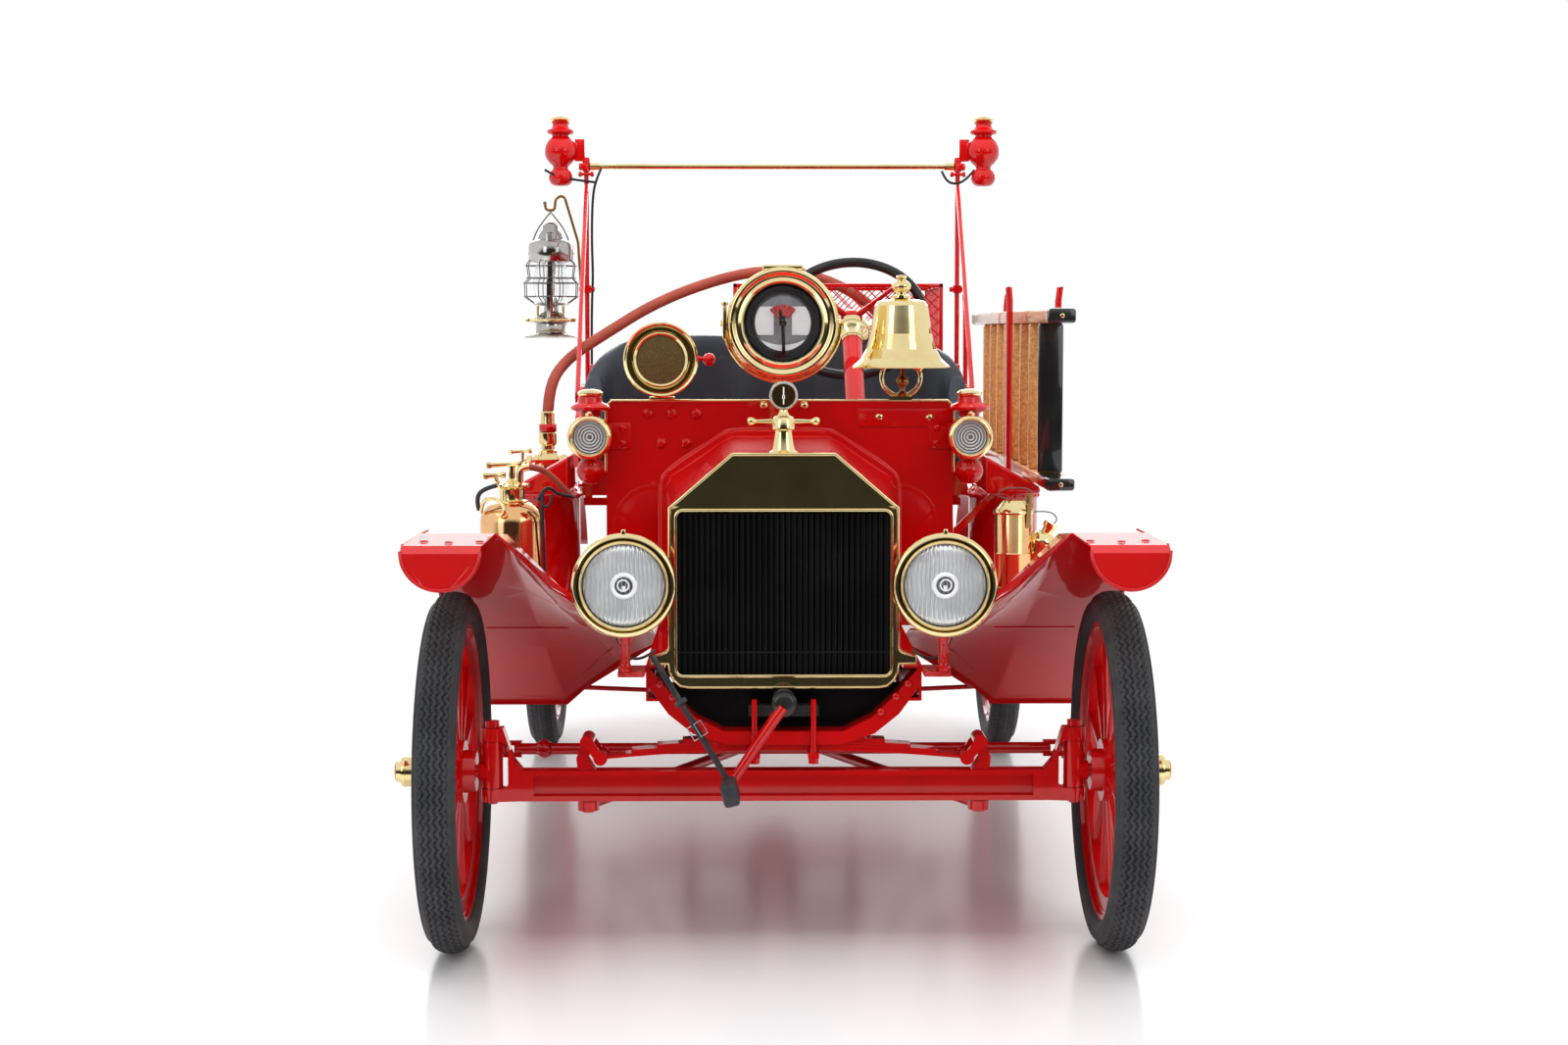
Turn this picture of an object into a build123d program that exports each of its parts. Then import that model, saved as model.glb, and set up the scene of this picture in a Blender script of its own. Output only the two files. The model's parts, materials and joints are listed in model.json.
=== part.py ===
from build123d import *
import math
import os

# A motor fire engine: light ladder chassis, wooden-spoked wheels, open seat, chemical tanks,
# hose basket, side ladder, bell, horn and searchlight.
# Millimetres. +X is the vehicle's left, -Y is forward, +Z is up. While the pieces are made, Y = 0 is
# the front axle and Z = 0 is the ground; at the end everything moves to the middle of the length.

# --- layout and running gear ---
wheelbase = 2540.0
front_tread = 1397.0
rear_tread = 1422.0
tyre_diameter = 762.0
front_tyre_width = 76.0
rear_tyre_width = 89.0
axle_height = tyre_diameter / 2
kingpin_x = 617.0            # half the distance between the kingpins
kingpin_diameter = 20.0
spindle_diameter = 28.0
rear_shaft_diameter = 32.0
bearing_clearance = 0.05     # radial, for every shaft that turns in a hole
seat_gap = 0.3               # between curved or soft faces that only rest on each other
hub_cap_x = 824.0            # half-width over the hub caps
spoke_count = 12
spoke_root_diameter = 30.0
spoke_tip_diameter = 24.0
hub_flange_radius = 66.0
felloe_depth = 34.0
steering_arm = 150.0         # kingpin to tie-rod pin
steering_arm_z = 403.0
steering_arm_thickness = 16.0

# --- frame ---
rail_outer_x = 290.0
rail_height = 76.0
rail_flange = 40.0
rail_wall = 6.0
rail_bottom_z = 536.0
rail_top_z = rail_bottom_z + rail_height
rail_front_y = -40.0
rail_rear_y = wheelbase + 100.0
dropped_member_z = 471.0     # top of the front cross member at its middle
dropped_member_half = 38.0   # half its depth along Y
dropped_member_flat = 125.0  # half-width of its level middle
member_lip = 28.0            # height of its front and rear lips

# --- front axle and springs ---
beam_bottom_z = 320.0
beam_height = 65.0
beam_width = 44.0
beam_flange = 11.0
beam_web = 12.0
fork_bottom_z = 318.0
fork_top_z = 475.0
fork_ear_height = 28.0
fork_ear_radius = 24.0
knuckle_gap = 1.0            # between the knuckle's body and each ear
perch_x = 415.0
perch_eye_z = 447.0
leaf_thickness = 7.0
leaf_width = 44.0
leaf_half_lengths = (375.0, 322.0, 268.0, 214.0, 160.0)
leaf_radius = 3900.0         # the leaves' common bend
rear_leaf_half_lengths = (470.0, 420.0, 365.0, 310.0, 255.0, 200.0)

# --- radiator, hood and firewall ---
radiator_front_y = -20.0
radiator_depth = 80.0
radiator_half = 240.0
radiator_bottom_z = 561.0
radiator_shoulder_z = 942.0
radiator_top_z = 1055.0
radiator_top_half = 108.0
radiator_ear_x = 281.0
core_half = 225.0
core_bottom_z = 590.0
core_top_z = 936.0
core_bead = 12.0             # raised border round the core
core_fin_count = 37
core_fin_depth = 8.0
hood_wall = 4.0
hood_front = (235.0, 938.0, 104.0, 1050.0)     # half-width, shoulder z, half of the flat top, top z
hood_rear = (275.0, 955.0, 115.0, 1073.0)
firewall_y = 650.0
firewall_thickness = 18.0
firewall_half = 411.0
firewall_top_z = 1148.0

# --- fenders and running boards ---
sheet = 4.0
fender_inner_x = 588.0
fender_outer_x = 757.0
fender_lip = 22.0
fender_nose_y = -374.0       # foremost point of a front fender
fender_nose_drop = 90.0      # how far its tongue hangs below the crown
apron_edge_z = 577.0         # inner edge of the splash aprons, on the rails
board_inner_x = 511.0
board_outer_x = 760.0
board_top_z = 437.0
board_thickness = 14.0
apron_mid = (387.0, 533.0)   # bend of the splash apron, x and z
rear_fender_radius = 455.0
rear_fender_x = (608.0, 768.0)

# --- steering column ---
column_x = 190.0
column_top = (1150.0, 1322.0)   # y and z of the column's upper end
column_angle = 39.5             # degrees above level
column_diameter = 50.0
column_length = 1245.0
steering_wheel_diameter = 400.0
steering_rim_diameter = 26.0
pitman_length = 165.0
pitman_shaft_diameter = 22.0

# --- seat ---
seat_half = 530.0            # half width over the wings of the back
cushion_half = 436.0
seat_front_y = 1215.0
seat_back_y = 1650.0
seat_base_z = 850.0
cushion_height = 105.0
seat_back_thickness = 90.0
seat_back_top_z = 1285.0
seat_corner_z = 1237.0
seat_wing_front_y = 1400.0
seat_panel = 13.0

# --- rear body ---
bed_half = 456.0
bed_front_y = seat_back_y + seat_back_thickness + 50.0
bed_rear_y = 2930.0
bed_side_z = 700.0
bed_deck_z = 900.0
bed_deck_thickness = 25.0
bed_wall = 20.0
post_x = 583.0
post_y = 2600.0
post_diameter = 15.0
post_top_z = 1840.0
rail_bar_z = 1830.0
rail_bar_diameter = 25.0
post_lamp_x = 663.0
basket_x = (-120.0, 500.0)
basket_y = (2100.0, 2700.0)
basket_z = (900.0, 1450.0)
basket_bar = 12.0
basket_sheet = 4.0
lattice_columns = 6
lattice_rows = 5
lattice_edge = 14.0          # solid border of a mesh panel
lattice_strand = 5.0         # half the space between neighbouring holes
ladder_x = (665.0, 735.0)
ladder_y = (900.0, 3000.0)
ladder_upper_z = (1330.0, 1368.0)
ladder_lower_z = (915.0, 947.0)
rung_pitch = 210.0
rung_first = 220.0
rung_thickness = 26.0
ladder_bracket_ys = (1500.0, 2850.0)

# --- equipment ---
tank_x = 655.0
tank_y = wheelbase - 690.0
tank_radius = 98.0
tank_bottom_z = 445.0
tank_shoulder_z = 860.0
hose_diameter = 32.0
coil_centre = (190.0, 2400.0)
coil_radius = 200.0          # to the middle of the turns
coil_turns_across = 3
coil_layers = 4
headlamp_centre = (330.0, -140.0, 791.0)     # at the front edge of the bowl
headlamp_radius = 96.0
cowl_lamp_centre = (445.0, 575.0, 1064.0)
cowl_lamp_radius = 50.0
post_lamp_z = 1763.0
searchlight_centre = (6.0, 560.0, 1330.0)
searchlight_radius = 130.0
horn_centre = (-278.0, 560.0, 1245.0)
horn_radius = 87.0
bell_x = 287.0
bell_mouth_z = 1225.0
bell_radius = 116.0
bell_wall = 6.0
lantern_x = -696.0
lantern_z = 1288.0
extinguisher_place = (-638.0, 750.0)
extinguisher_radius = 66.0
extinguisher_neck_z = 905.0

engine_nose_y = -50.0        # front end of the crankshaft bearing
crank_y = -80.0              # plane of the starting crank's arm
engine_half = 118.0          # half width of the cylinder block
engine_ys = (90.0, 610.0)    # its front and rear faces
engine_head_z = 905.0
gear_case_z = 480.0          # widest line of the gear casing
engine_mount_z = 540.0       # top of the spring's clamp bolts, which hold the engine's front saddle
crank_z = 536.0
crank_arm_x = -112.0
crank_arm_z = 367.0
gauge_z = 1176.0
gauge_radius = 30.0
stay_ball = (0.0, 868.0, 314.0)              # where the front axle's stays meet
drive_tube_start = (0.0, 905.0, 480.0)
board_bracket_ys = (1020.0, 1980.0)
rear_leaf_radius = 1300.0
rear_web_low = 564.0         # underside of the rear cross member, which the rear spring bears on
rear_perch_x = 512.0
rear_housing_x = 625.0
rear_shaft_reach = 70.0
drum_gap = 6.0               # between each brake drum and its backing plate
rim_bead = 10.0              # how far the rim stands into the tyre's section
spindle_reach = 95.0         # spindle end beyond the wheel's middle
tie_pin_diameter = 14.0
drag_link_x = 520.0
wheel_rise = 27.0            # steering wheel's hub above the column's upper end
wheel_shaft_diameter = 20.0
wheel_shaft_depth = 26.0
pitman_shaft_depth = 36.0
pitman_drop = 20.0           # drop arm below the column's lower end
pitman_ball_diameter = 24.0
seat_box_front = 1230.0
floor_half = 480.0
step_z = 425.0
step_half = 450.0
post_foot_z = 784.0
strut_top_z = 1768.0
strut_foot_y = 1700.0
strut_foot_z = 1124.0
strut_root_z = 732.0         # of the ladder brackets' struts, on the body's side
lantern_clamp_z = 1441.0
lantern_hook_z = 1688.0

step_rear_y = 3090.0

origin_y = (step_rear_y - tyre_diameter / 2) / 2      # middle of the length, front tyre to rear step


# --- shape helpers ---
def block(x0, x1, y0, y1, z0, z1):
    """A box between two corners."""
    return Pos((x0 + x1) / 2, (y0 + y1) / 2, (z0 + z1) / 2) * Box(x1 - x0, y1 - y0, z1 - z0)


def rod(start, end, diameter, end_diameter=None):
    """A round bar, or a tapered one, from point to point."""
    run = Vector(*end) - Vector(*start)
    plane = Plane(origin=start, z_dir=run)
    if end_diameter is None:
        return Solid.make_cylinder(diameter / 2, run.length, plane)
    return Solid.make_cone(diameter / 2, end_diameter / 2, run.length, plane)


def ball(centre, diameter):
    return Pos(*centre) * Solid.make_sphere(diameter / 2, angle1=-90, angle2=90, angle3=360)


def ring(centre, axis, radius, thickness):
    """A full round hoop: radius is that of its centre line."""
    return Solid.make_torus(radius, thickness / 2, Plane(origin=centre, z_dir=axis))


def prism(points, normal, start, end):
    """A flat outline of (u, v) points pushed between two stations along a row axis.
    normal "x" reads (y, z), "y" reads (x, z) and "z" reads (x, y)."""
    place = {"x": lambda u, v: (start, u, v), "y": lambda u, v: (u, start, v),
             "z": lambda u, v: (u, v, start)}[normal]
    way = {"x": (1, 0, 0), "y": (0, 1, 0), "z": (0, 0, 1)}[normal]
    outline = Face(Wire.make_polygon([place(u, v) for u, v in points]))
    return Solid.extrude(outline, Vector(*way) * (end - start))


def turned(profile, origin, axis):
    """A closed outline of (distance along the axis, radius) points, revolved about the axis."""
    outline = Face(Wire.make_polygon([(radius, 0, along) for along, radius in profile]))
    return Plane(origin=origin, z_dir=axis) * Solid.revolve(outline, 360, Axis.Z)


def strap(start, end, width, thickness, side):
    """A flat bar from point to point; side is the direction of its width."""
    run = Vector(*end) - Vector(*start)
    section = Plane(origin=start, x_dir=side, z_dir=run) * Rectangle(width, thickness)
    return extrude(section, run.length, dir=run.normalized())


def skin(sections):
    """A ruled solid through closed outlines that have the same number of corners."""
    return Solid.make_loft([Wire.make_polygon(points) for points in sections], ruled=True)


def tube_along(points, radii, diameter):
    """A round tube along straight runs with tangent arcs at the corners."""
    path = FilletPolyline(*points, radius=radii)
    start = Plane(origin=path @ 0, z_dir=path % 0)
    return sweep(start * Circle(diameter / 2), path=path)


def mirrored(*shapes):
    """The shapes and their mirror images across the middle of the vehicle."""
    return list(shapes) + [shape.mirror(Plane.YZ) for shape in shapes]


def fused(*shapes):
    return Part() + list(shapes)


# --- frame ---
def rail():
    inner = rail_outer_x - rail_flange
    web = rail_outer_x - rail_wall
    channel = [(rail_outer_x, rail_bottom_z), (rail_outer_x, rail_top_z), (inner, rail_top_z),
               (inner, rail_top_z - rail_wall), (web, rail_top_z - rail_wall),
               (web, rail_bottom_z + rail_wall), (inner, rail_bottom_z + rail_wall),
               (inner, rail_bottom_z)]
    return prism(channel, "y", rail_front_y, rail_rear_y)


def dropped_member():
    """Pressed front cross member: level in the middle, swept up to the side rails, open below."""
    def outline(inset):
        """Half outline of the top edge from the middle outwards, inset from the skin."""
        top = dropped_member_z - inset
        flat = dropped_member_flat + 0.4 * inset
        reach = rail_outer_x - rail_wall - inset
        return [(flat, top), (flat + 60, top + 29), (flat + 110, top + 77), (reach, rail_top_z - 6 - inset)]

    depth = dropped_member_half
    flat = dropped_member_flat
    reach = rail_outer_x - rail_wall
    under = [(reach, rail_top_z - 48), (flat + 118, dropped_member_z + 37),
             (flat + 66, dropped_member_z - 5),
             (flat - 6, dropped_member_z - member_lip)]
    half = outline(0) + under
    shell = prism(half + [(-x, z) for x, z in reversed(half)], "y", -depth, depth)
    pocket = outline(rail_wall) + [(reach - rail_wall, fork_bottom_z)]
    pocket = prism(pocket + [(-x, z) for x, z in reversed(pocket)], "y", rail_wall - depth,
                   depth - rail_wall)
    return shell - pocket


def channel_member(y, depth, web_low):
    """Cross member of inverted channel between the rails' webs; web_low is the web's underside."""
    reach = rail_outer_x - rail_wall
    low = min(rail_top_z - 46, web_low - 12)
    high = rail_top_z - rail_wall
    outline = [(y - depth, low), (y - depth, high), (y + depth, high), (y + depth, low),
               (y + depth - rail_wall, low), (y + depth - rail_wall, web_low),
               (y - depth + rail_wall, web_low), (y - depth + rail_wall, low)]
    return prism(outline, "x", -reach, reach)


def board_bracket(y):
    """Forged bracket from a side rail out under a running board."""
    low = board_top_z - board_thickness
    outline = [(rail_outer_x - 1, rail_bottom_z + 4), (rail_outer_x - 1, rail_bottom_z + 30),
               (rail_outer_x + 22, rail_bottom_z + 10), (board_inner_x - 14, low),
               (board_outer_x - 12, low),
               (board_outer_x - 12, low - 10), (board_inner_x - 20, low - 16),
               (rail_outer_x + 12, rail_bottom_z - 12)]
    return prism(outline, "y", y - 16, y + 16)


def truss_rod(y):
    """Tie between two running-board brackets, dipping under the drive tube."""
    low = board_top_z - board_thickness - 12
    middle = low - 22
    start = board_inner_x + 10
    return [rod((start, y, low), (-1, y, middle), 12), rod((-start, y, low), (1, y, middle), 12)]


def chassis_frame():
    brackets = [board_bracket(y) for y in board_bracket_ys]
    middle_web = rail_top_z - 2 * rail_wall
    body = fused(*mirrored(rail(), *brackets), dropped_member(),
                 channel_member(wheelbase, 38, rear_web_low),
                 channel_member(bed_front_y, 30, middle_web), *truss_rod(board_bracket_ys[0]))
    return [body]


# --- front axle ---
def beam():
    top = beam_bottom_z + beam_height
    reach = kingpin_x - 62
    solid = block(-reach, reach, -beam_width / 2, beam_width / 2, beam_bottom_z, top)
    groove = block(-reach + 26, reach - 26, beam_web / 2, beam_width, beam_bottom_z + beam_flange,
                   top - beam_flange)
    return solid - groove - groove.mirror(Plane.XZ)


def fork():
    """Open end of the axle that holds the kingpin in two ears."""
    depth = beam_width / 2 - 2
    root = kingpin_x - 64
    low = fork_bottom_z + fork_ear_height
    high = fork_top_z - fork_ear_height
    outline = [(root, fork_bottom_z + 2), (kingpin_x, fork_bottom_z), (kingpin_x, low),
               (kingpin_x - 26, low),
               (kingpin_x - 34, low + 10), (kingpin_x - 34, high - 10), (kingpin_x - 26, high),
               (kingpin_x, high), (kingpin_x, fork_top_z), (kingpin_x - 24, fork_top_z),
               (kingpin_x - 46, high - 40), (root, beam_bottom_z + beam_height)]
    ears = [Solid.make_cylinder(fork_ear_radius, fork_ear_height, Plane(origin=(kingpin_x, 0, z)))
            for z in (fork_bottom_z, high)]
    arch = fused(prism(outline, "y", -depth, depth), *ears)
    hole = rod((kingpin_x, 0, fork_bottom_z - 5), (kingpin_x, 0, fork_top_z + 5),
               kingpin_diameter + 2 * bearing_clearance)
    return arch - hole


def perch():
    """Spring perch: a bolt through the beam, a curved arm and an eye for the shackle."""
    top = beam_bottom_z + beam_height
    arm = [(perch_x - 17, top), (perch_x + 21, top), (perch_x + 24, top + 26),
           (perch_x + 10, perch_eye_z + 2),
           (perch_x - 12, perch_eye_z), (perch_x - 2, top + 24)]
    return [prism(arm, "y", -17, 17), rod((perch_x, -26, perch_eye_z), (perch_x, 26, perch_eye_z), 30),
            rod((perch_x, 0, beam_bottom_z - 26), (perch_x, 0, beam_bottom_z), 26),
            rod((perch_x, 0, beam_bottom_z - 22), (perch_x, 0, beam_bottom_z - 2), 46)]


def front_axle():
    eye_z = beam_bottom_z - 12
    stay = rod((perch_x, 10, eye_z), (0, stay_ball[1], stay_ball[2]), 25)
    return [fused(beam(), *mirrored(fork(), *perch(), stay), ball(stay_ball, 54))]


# --- leaf springs ---
def leaf(half_length, level, low_z, y, bend):
    """One leaf of a transverse spring; level counts the leaves up from the main one."""
    radius = bend + level * (leaf_thickness + seat_gap)
    centre_z = low_z - bend

    def arc(r):
        drop = math.sqrt(r * r - half_length * half_length)
        end_z = centre_z + drop
        return ThreePointArc((-half_length, y, end_z), (0, y, centre_z + r), (half_length, y, end_z))

    lower, upper = arc(radius), arc(radius + leaf_thickness)
    side = Face(Wire([lower, Line(lower @ 1, upper @ 1), upper, Line(upper @ 0, lower @ 0)]))
    return Solid.extrude(side, Vector(0, leaf_width, 0))


def leaf_stack(half_lengths, low_z, middle_y, bend):
    y = middle_y - leaf_width / 2
    return [leaf(half, level, low_z, y, bend) for level, half in enumerate(half_lengths)]


def shackle(eye, perch_eye, y, thickness=8.0):
    """Figure-eight link between two eyes, one plate each side."""
    plates = []
    for offset in (-28 - thickness, 28):
        start = (eye[0], y + offset, eye[1])
        end = (perch_eye[0], y + offset, perch_eye[1])
        plates.append(fused(rod(start, (eye[0], y + offset + thickness, eye[1]), 30),
                            rod(end, (perch_eye[0], y + offset + thickness, perch_eye[1]), 30),
                            prism([(eye[0] - 4, eye[1] + 9), (eye[0] + 8, eye[1] - 9),
                                   (perch_eye[0] + 4, perch_eye[1] - 9),
                                   (perch_eye[0] - 8, perch_eye[1] + 9)],
                                  "y", y + offset, y + offset + thickness)))
    return plates


def spring_clamp(x, low_z, high_z, y):
    """U-bolt round the leaves: two legs with nuts and a bar under the main leaf."""
    half = leaf_width / 2 + 24
    legs = [rod((x, y + side * half, low_z - 24), (x, y + side * half, high_z), 12) for side in (-1, 1)]
    nuts = [rod((x, y + side * half, low_z - 24), (x, y + side * half, low_z - 12), 22) for side in (-1, 1)]
    under = block(x - 12, x + 12, y - half - 10, y + half + 10, low_z - 12, low_z - seat_gap)
    return fused(under, *legs, *nuts)


def front_spring():
    low = dropped_member_z - rail_wall - len(leaf_half_lengths) * (leaf_thickness + seat_gap)
    drop = leaf_half_lengths[0] ** 2 / (2 * leaf_radius)
    eye = (leaf_half_lengths[0] + 12, low - drop + 3)
    perch_eye = (perch_x, perch_eye_z)
    eye_barrel = rod((eye[0], -26, eye[1]), (eye[0], 26, eye[1]), 24)
    leaves = leaf_stack(leaf_half_lengths, low, 0, leaf_radius)
    main = fused(leaves[0], *mirrored(eye_barrel))
    links = mirrored(*shackle(eye, perch_eye, 0))
    clamps = [spring_clamp(x, low, engine_mount_z, 0) for x in (-62, 62)]
    return [main, *leaves[1:], *links, *clamps]


# --- rear axle ---
def rear_axle():
    z = axle_height
    housing = turned([(-rear_housing_x, 0), (-rear_housing_x, 40), (-rear_housing_x + 50, 30), (-130, 36),
                      (-98, 64), (-66, 104), (-30, 118), (30, 118), (66, 104), (98, 64), (130, 36),
                      (rear_housing_x - 50, 30), (rear_housing_x, 40), (rear_housing_x, 0)],
                     (0, wheelbase, z), (1, 0, 0))
    plate = rod((rear_housing_x - 6, wheelbase, z), (rear_housing_x, wheelbase, z), 276)
    perch_top = rear_perch_z()
    post = [(rear_perch_x - 20, z + 22), (rear_perch_x + 20, z + 22), (rear_perch_x + 14, perch_top),
            (rear_perch_x - 14, perch_top)]
    arm = prism(post, "y", wheelbase - 17, wheelbase + 17)
    eye = rod((rear_perch_x, wheelbase - 26, perch_top), (rear_perch_x, wheelbase + 26, perch_top), 30)
    stay = rod((rear_housing_x - 90, wheelbase - 20, z),
               (36, drive_tube_start[1] + 60, drive_tube_start[2] - 6), 25)
    tube = rod(drive_tube_start, (0, wheelbase - 100, z), 72, 84)
    bore_depth = rear_shaft_reach + 5
    bore = rod((rear_housing_x - bore_depth, wheelbase, z), (rear_housing_x + 1, wheelbase, z),
               rear_shaft_diameter + 2 * bearing_clearance)
    body = fused(housing, tube, *mirrored(plate, arm, eye, stay))
    return [body - bore - bore.mirror(Plane.YZ)]


def rear_perch_z():
    """Height of the rear spring's shackle eyes, a little above the main leaf's ends."""
    return rear_leaf_low() - rear_leaf_half_lengths[0] ** 2 / (2 * rear_leaf_radius) + 12


def rear_leaf_low():
    return rear_web_low - len(rear_leaf_half_lengths) * (leaf_thickness + seat_gap)


def rear_spring():
    low = rear_leaf_low()
    reach = rear_leaf_half_lengths[0]
    eye = (reach + 10, low - rear_leaf_radius + math.sqrt(rear_leaf_radius ** 2 - reach ** 2) + 3)
    barrel = rod((eye[0], wheelbase - 26, eye[1]), (eye[0], wheelbase + 26, eye[1]), 24)
    leaves = leaf_stack(rear_leaf_half_lengths, low, wheelbase, rear_leaf_radius)
    main = fused(leaves[0], *mirrored(barrel))
    links = mirrored(*shackle(eye, (rear_perch_x, rear_perch_z()), wheelbase))
    clamps = [spring_clamp(x, low, rail_top_z + 12, wheelbase) for x in (-62, 62)]
    return [main, *leaves[1:], *links, *clamps]


# --- engine ---
def engine_block():
    """Cylinder block, crankcase and gear casing as one heavy plain mass with its sump."""
    front, rear = engine_ys
    cylinders = block(-engine_half, engine_half, front, rear, rail_top_z - 60, engine_head_z)
    wide = engine_half + 17
    case = [(-wide, rail_top_z - 60), (wide, rail_top_z - 60), (wide - 23, gear_case_z),
            (60, gear_case_z - 33),
            (-60, gear_case_z - 33), (23 - wide, gear_case_z)]
    sump_low = stay_ball[2] + 28
    sump = [(-158, rail_top_z - 10), (158, rail_top_z - 10), (150, 440), (90, sump_low), (-90, sump_low),
            (-150, 440)]
    nose = rod((0, engine_nose_y, crank_z), (0, front + 2, crank_z), 48)
    saddle = block(-74, 74, -30, 12, engine_mount_z - 38, engine_mount_z - 16)
    shaft_hole = rod((0, engine_nose_y - 1, crank_z), (0, 60, crank_z), 22 + 2 * bearing_clearance)
    tail = rod((0, rear + 260, drive_tube_start[2]), (0, drive_tube_start[1] - 3, drive_tube_start[2]), 120)
    socket = block(-34, 34, rear + 252, rear + 282, sump_low, 400)
    body = fused(cylinders, prism(case, "y", front, rear + 2), prism(sump, "y", rear - 10, rear + 270),
                 nose, saddle, tail, socket)
    arms = mirrored(block(engine_half + 2, rail_outer_x - rail_wall - seat_gap, rear + 30, rear + 70,
                          rail_top_z - 58, rail_top_z - 34))
    return [fused(body, *arms) - shaft_hole]


# --- radiator ---
def radiator_outline():
    low, side = radiator_bottom_z, radiator_half
    ear = rail_top_z + seat_gap
    half = [(side - 40, low), (side - 22, low + 4), (side - 8, low + 16), (side + 1, low + 34),
            (side + 3, ear),
            (radiator_ear_x, ear), (radiator_ear_x, ear + 16), (side + 24, ear + 18), (side + 8, ear + 24),
            (side + 1, ear + 36), (side, ear + 60), (side, radiator_shoulder_z),
            (radiator_top_half, radiator_top_z)]
    return half + [(-x, z) for x, z in reversed(half)]


def rounded_slab(half, low, high, radius, start, end):
    """A slab across the vehicle with its four corners rounded about Y."""
    slab = block(-half, half, start, end, low, high)
    return slab.fillet(radius, slab.edges().filter_by(Axis.Y))


def radiator_shell():
    front, back = radiator_front_y, radiator_front_y + radiator_depth
    body = prism(radiator_outline(), "y", front, back)
    core = block(-core_half, core_half, front - 1, back + 1, core_bottom_z, core_top_z)
    rim = core_bead
    bead = rounded_slab(core_half + rim, core_bottom_z - rim, core_top_z + rim - 2, 24, front - 4, front)
    mouth = rounded_slab(core_half, core_bottom_z, core_top_z, 14, front - 5, front + 1)
    return [fused(body - core, bead - mouth)]


def radiator_core():
    """Upright water fins: a comb-shaped plan pushed up between the tanks."""
    reach = core_half - seat_gap
    back = radiator_front_y + radiator_depth - 6
    face = radiator_front_y + 14
    pitch = 2 * reach / core_fin_count
    comb = [(-reach, back)]
    for index in range(core_fin_count):
        left = -reach + index * pitch
        comb += [(left, face), (left + 0.6 * pitch, face)]
        if index < core_fin_count - 1:
            comb += [(left + 0.6 * pitch, face + core_fin_depth), (left + pitch, face + core_fin_depth)]
    comb += [(reach, face), (reach, back)]
    return [prism(comb, "z", core_bottom_z + seat_gap, core_top_z - seat_gap)]


def radiator_cap():
    """Filler neck, winged cap and the round temperature gauge that stands on it."""
    y = radiator_front_y + radiator_depth / 2
    foot = (0, y, radiator_top_z)
    neck = turned([(0, 0), (0, 40), (8, 34), (40, 27), (52, 27), (58, 36), (70, 36), (78, 24), (84, 12),
                   (gauge_z - radiator_top_z - 24, 8), (gauge_z - radiator_top_z - 24, 0)], foot, (0, 0, 1))
    bar_z = radiator_top_z + 66
    wings = mirrored(rod((20, y, bar_z), (76, y, bar_z), 16, 10), ball((76, y, bar_z), 19))
    gauge = turned([(-9, 0), (-9, gauge_radius), (-3, gauge_radius + 2), (5, gauge_radius),
                    (10, gauge_radius - 10),
                    (10, 0)], (0, y, gauge_z), (0, 1, 0))
    return [fused(neck, *wings, gauge)]


# --- hood and firewall ---
def hood_section(shape, y, inset, low):
    half, shoulder, flat, top = shape
    right = [(half - inset, low), (half - inset, shoulder - inset * 0.4),
             (half - 10 - inset, shoulder + 22 - inset * 0.6),
             (flat + 24 - inset * 0.6, top - 12 - inset), (flat - inset * 0.5, top - inset)]
    return [(x, y, z) for x, z in right] + [(-x, y, z) for x, z in reversed(right)]


def hood_ridge(start, end, rise):
    """A raised rib round the hood, that much proud of it, between two stations along Y."""
    front = radiator_front_y + radiator_depth
    share = (end - front) / (firewall_y - front)
    shape = [a + (b - a) * share for a, b in zip(hood_front, hood_rear)]
    grown = (shape[0] + rise, shape[1] + rise / 2, shape[2] + rise / 2, shape[3] + rise)
    low = rail_top_z + seat_gap
    rib = skin([hood_section(grown, start, 0, low), hood_section(grown, end, 0, low)])
    bore = skin([hood_section(shape, start - 1, hood_wall / 2, low - 5),
                 hood_section(shape, end + 1, hood_wall / 2, low - 5)])
    return rib - bore


def hood():
    front = radiator_front_y + radiator_depth + seat_gap
    back = firewall_y - seat_gap
    outer = skin([hood_section(hood_front, front, 0, rail_top_z + seat_gap),
                  hood_section(hood_rear, back, 0, rail_top_z + seat_gap)])
    inner = skin([hood_section(hood_front, front - 1, hood_wall, rail_top_z - 5),
                  hood_section(hood_rear, back + 1, hood_wall, rail_top_z - 5)])
    return [fused(outer - inner, hood_ridge(back - 14, back, 12), hood_ridge(back - 50, back - 38, 5))]


def column_point(distance):
    """A point on the column's axis, that far down from its upper end."""
    angle = math.radians(column_angle)
    return (column_x, column_top[0] - distance * math.cos(angle),
            column_top[1] - distance * math.sin(angle))


column_axis = (0, math.cos(math.radians(column_angle)),
               math.sin(math.radians(column_angle)))   # up the column


def firewall():
    back = firewall_y + firewall_thickness
    corner = 14
    outline = [(firewall_half, rail_top_z), (firewall_half, firewall_top_z - corner),
               (firewall_half - corner, firewall_top_z)]
    board = prism(outline + [(-x, z) for x, z in reversed(outline)], "y", firewall_y, back)
    passage = rod(column_point(0), column_point(column_length), column_diameter + 2 * seat_gap)
    return [board - passage]


# --- starting crank ---
def starting_crank():
    front = crank_y
    hub = (0, front, crank_z)
    knuckle = (crank_arm_x, front, crank_arm_z)
    grip = (crank_arm_x, front - 128, crank_arm_z)
    return [fused(rod((0, 50, crank_z), hub, 22), rod((0, front + 10, crank_z), (0, front - 12, crank_z),
                                                      44),
                  rod(hub, knuckle, 24, 20), ball(knuckle, 26), rod(knuckle, grip, 20))]


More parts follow.
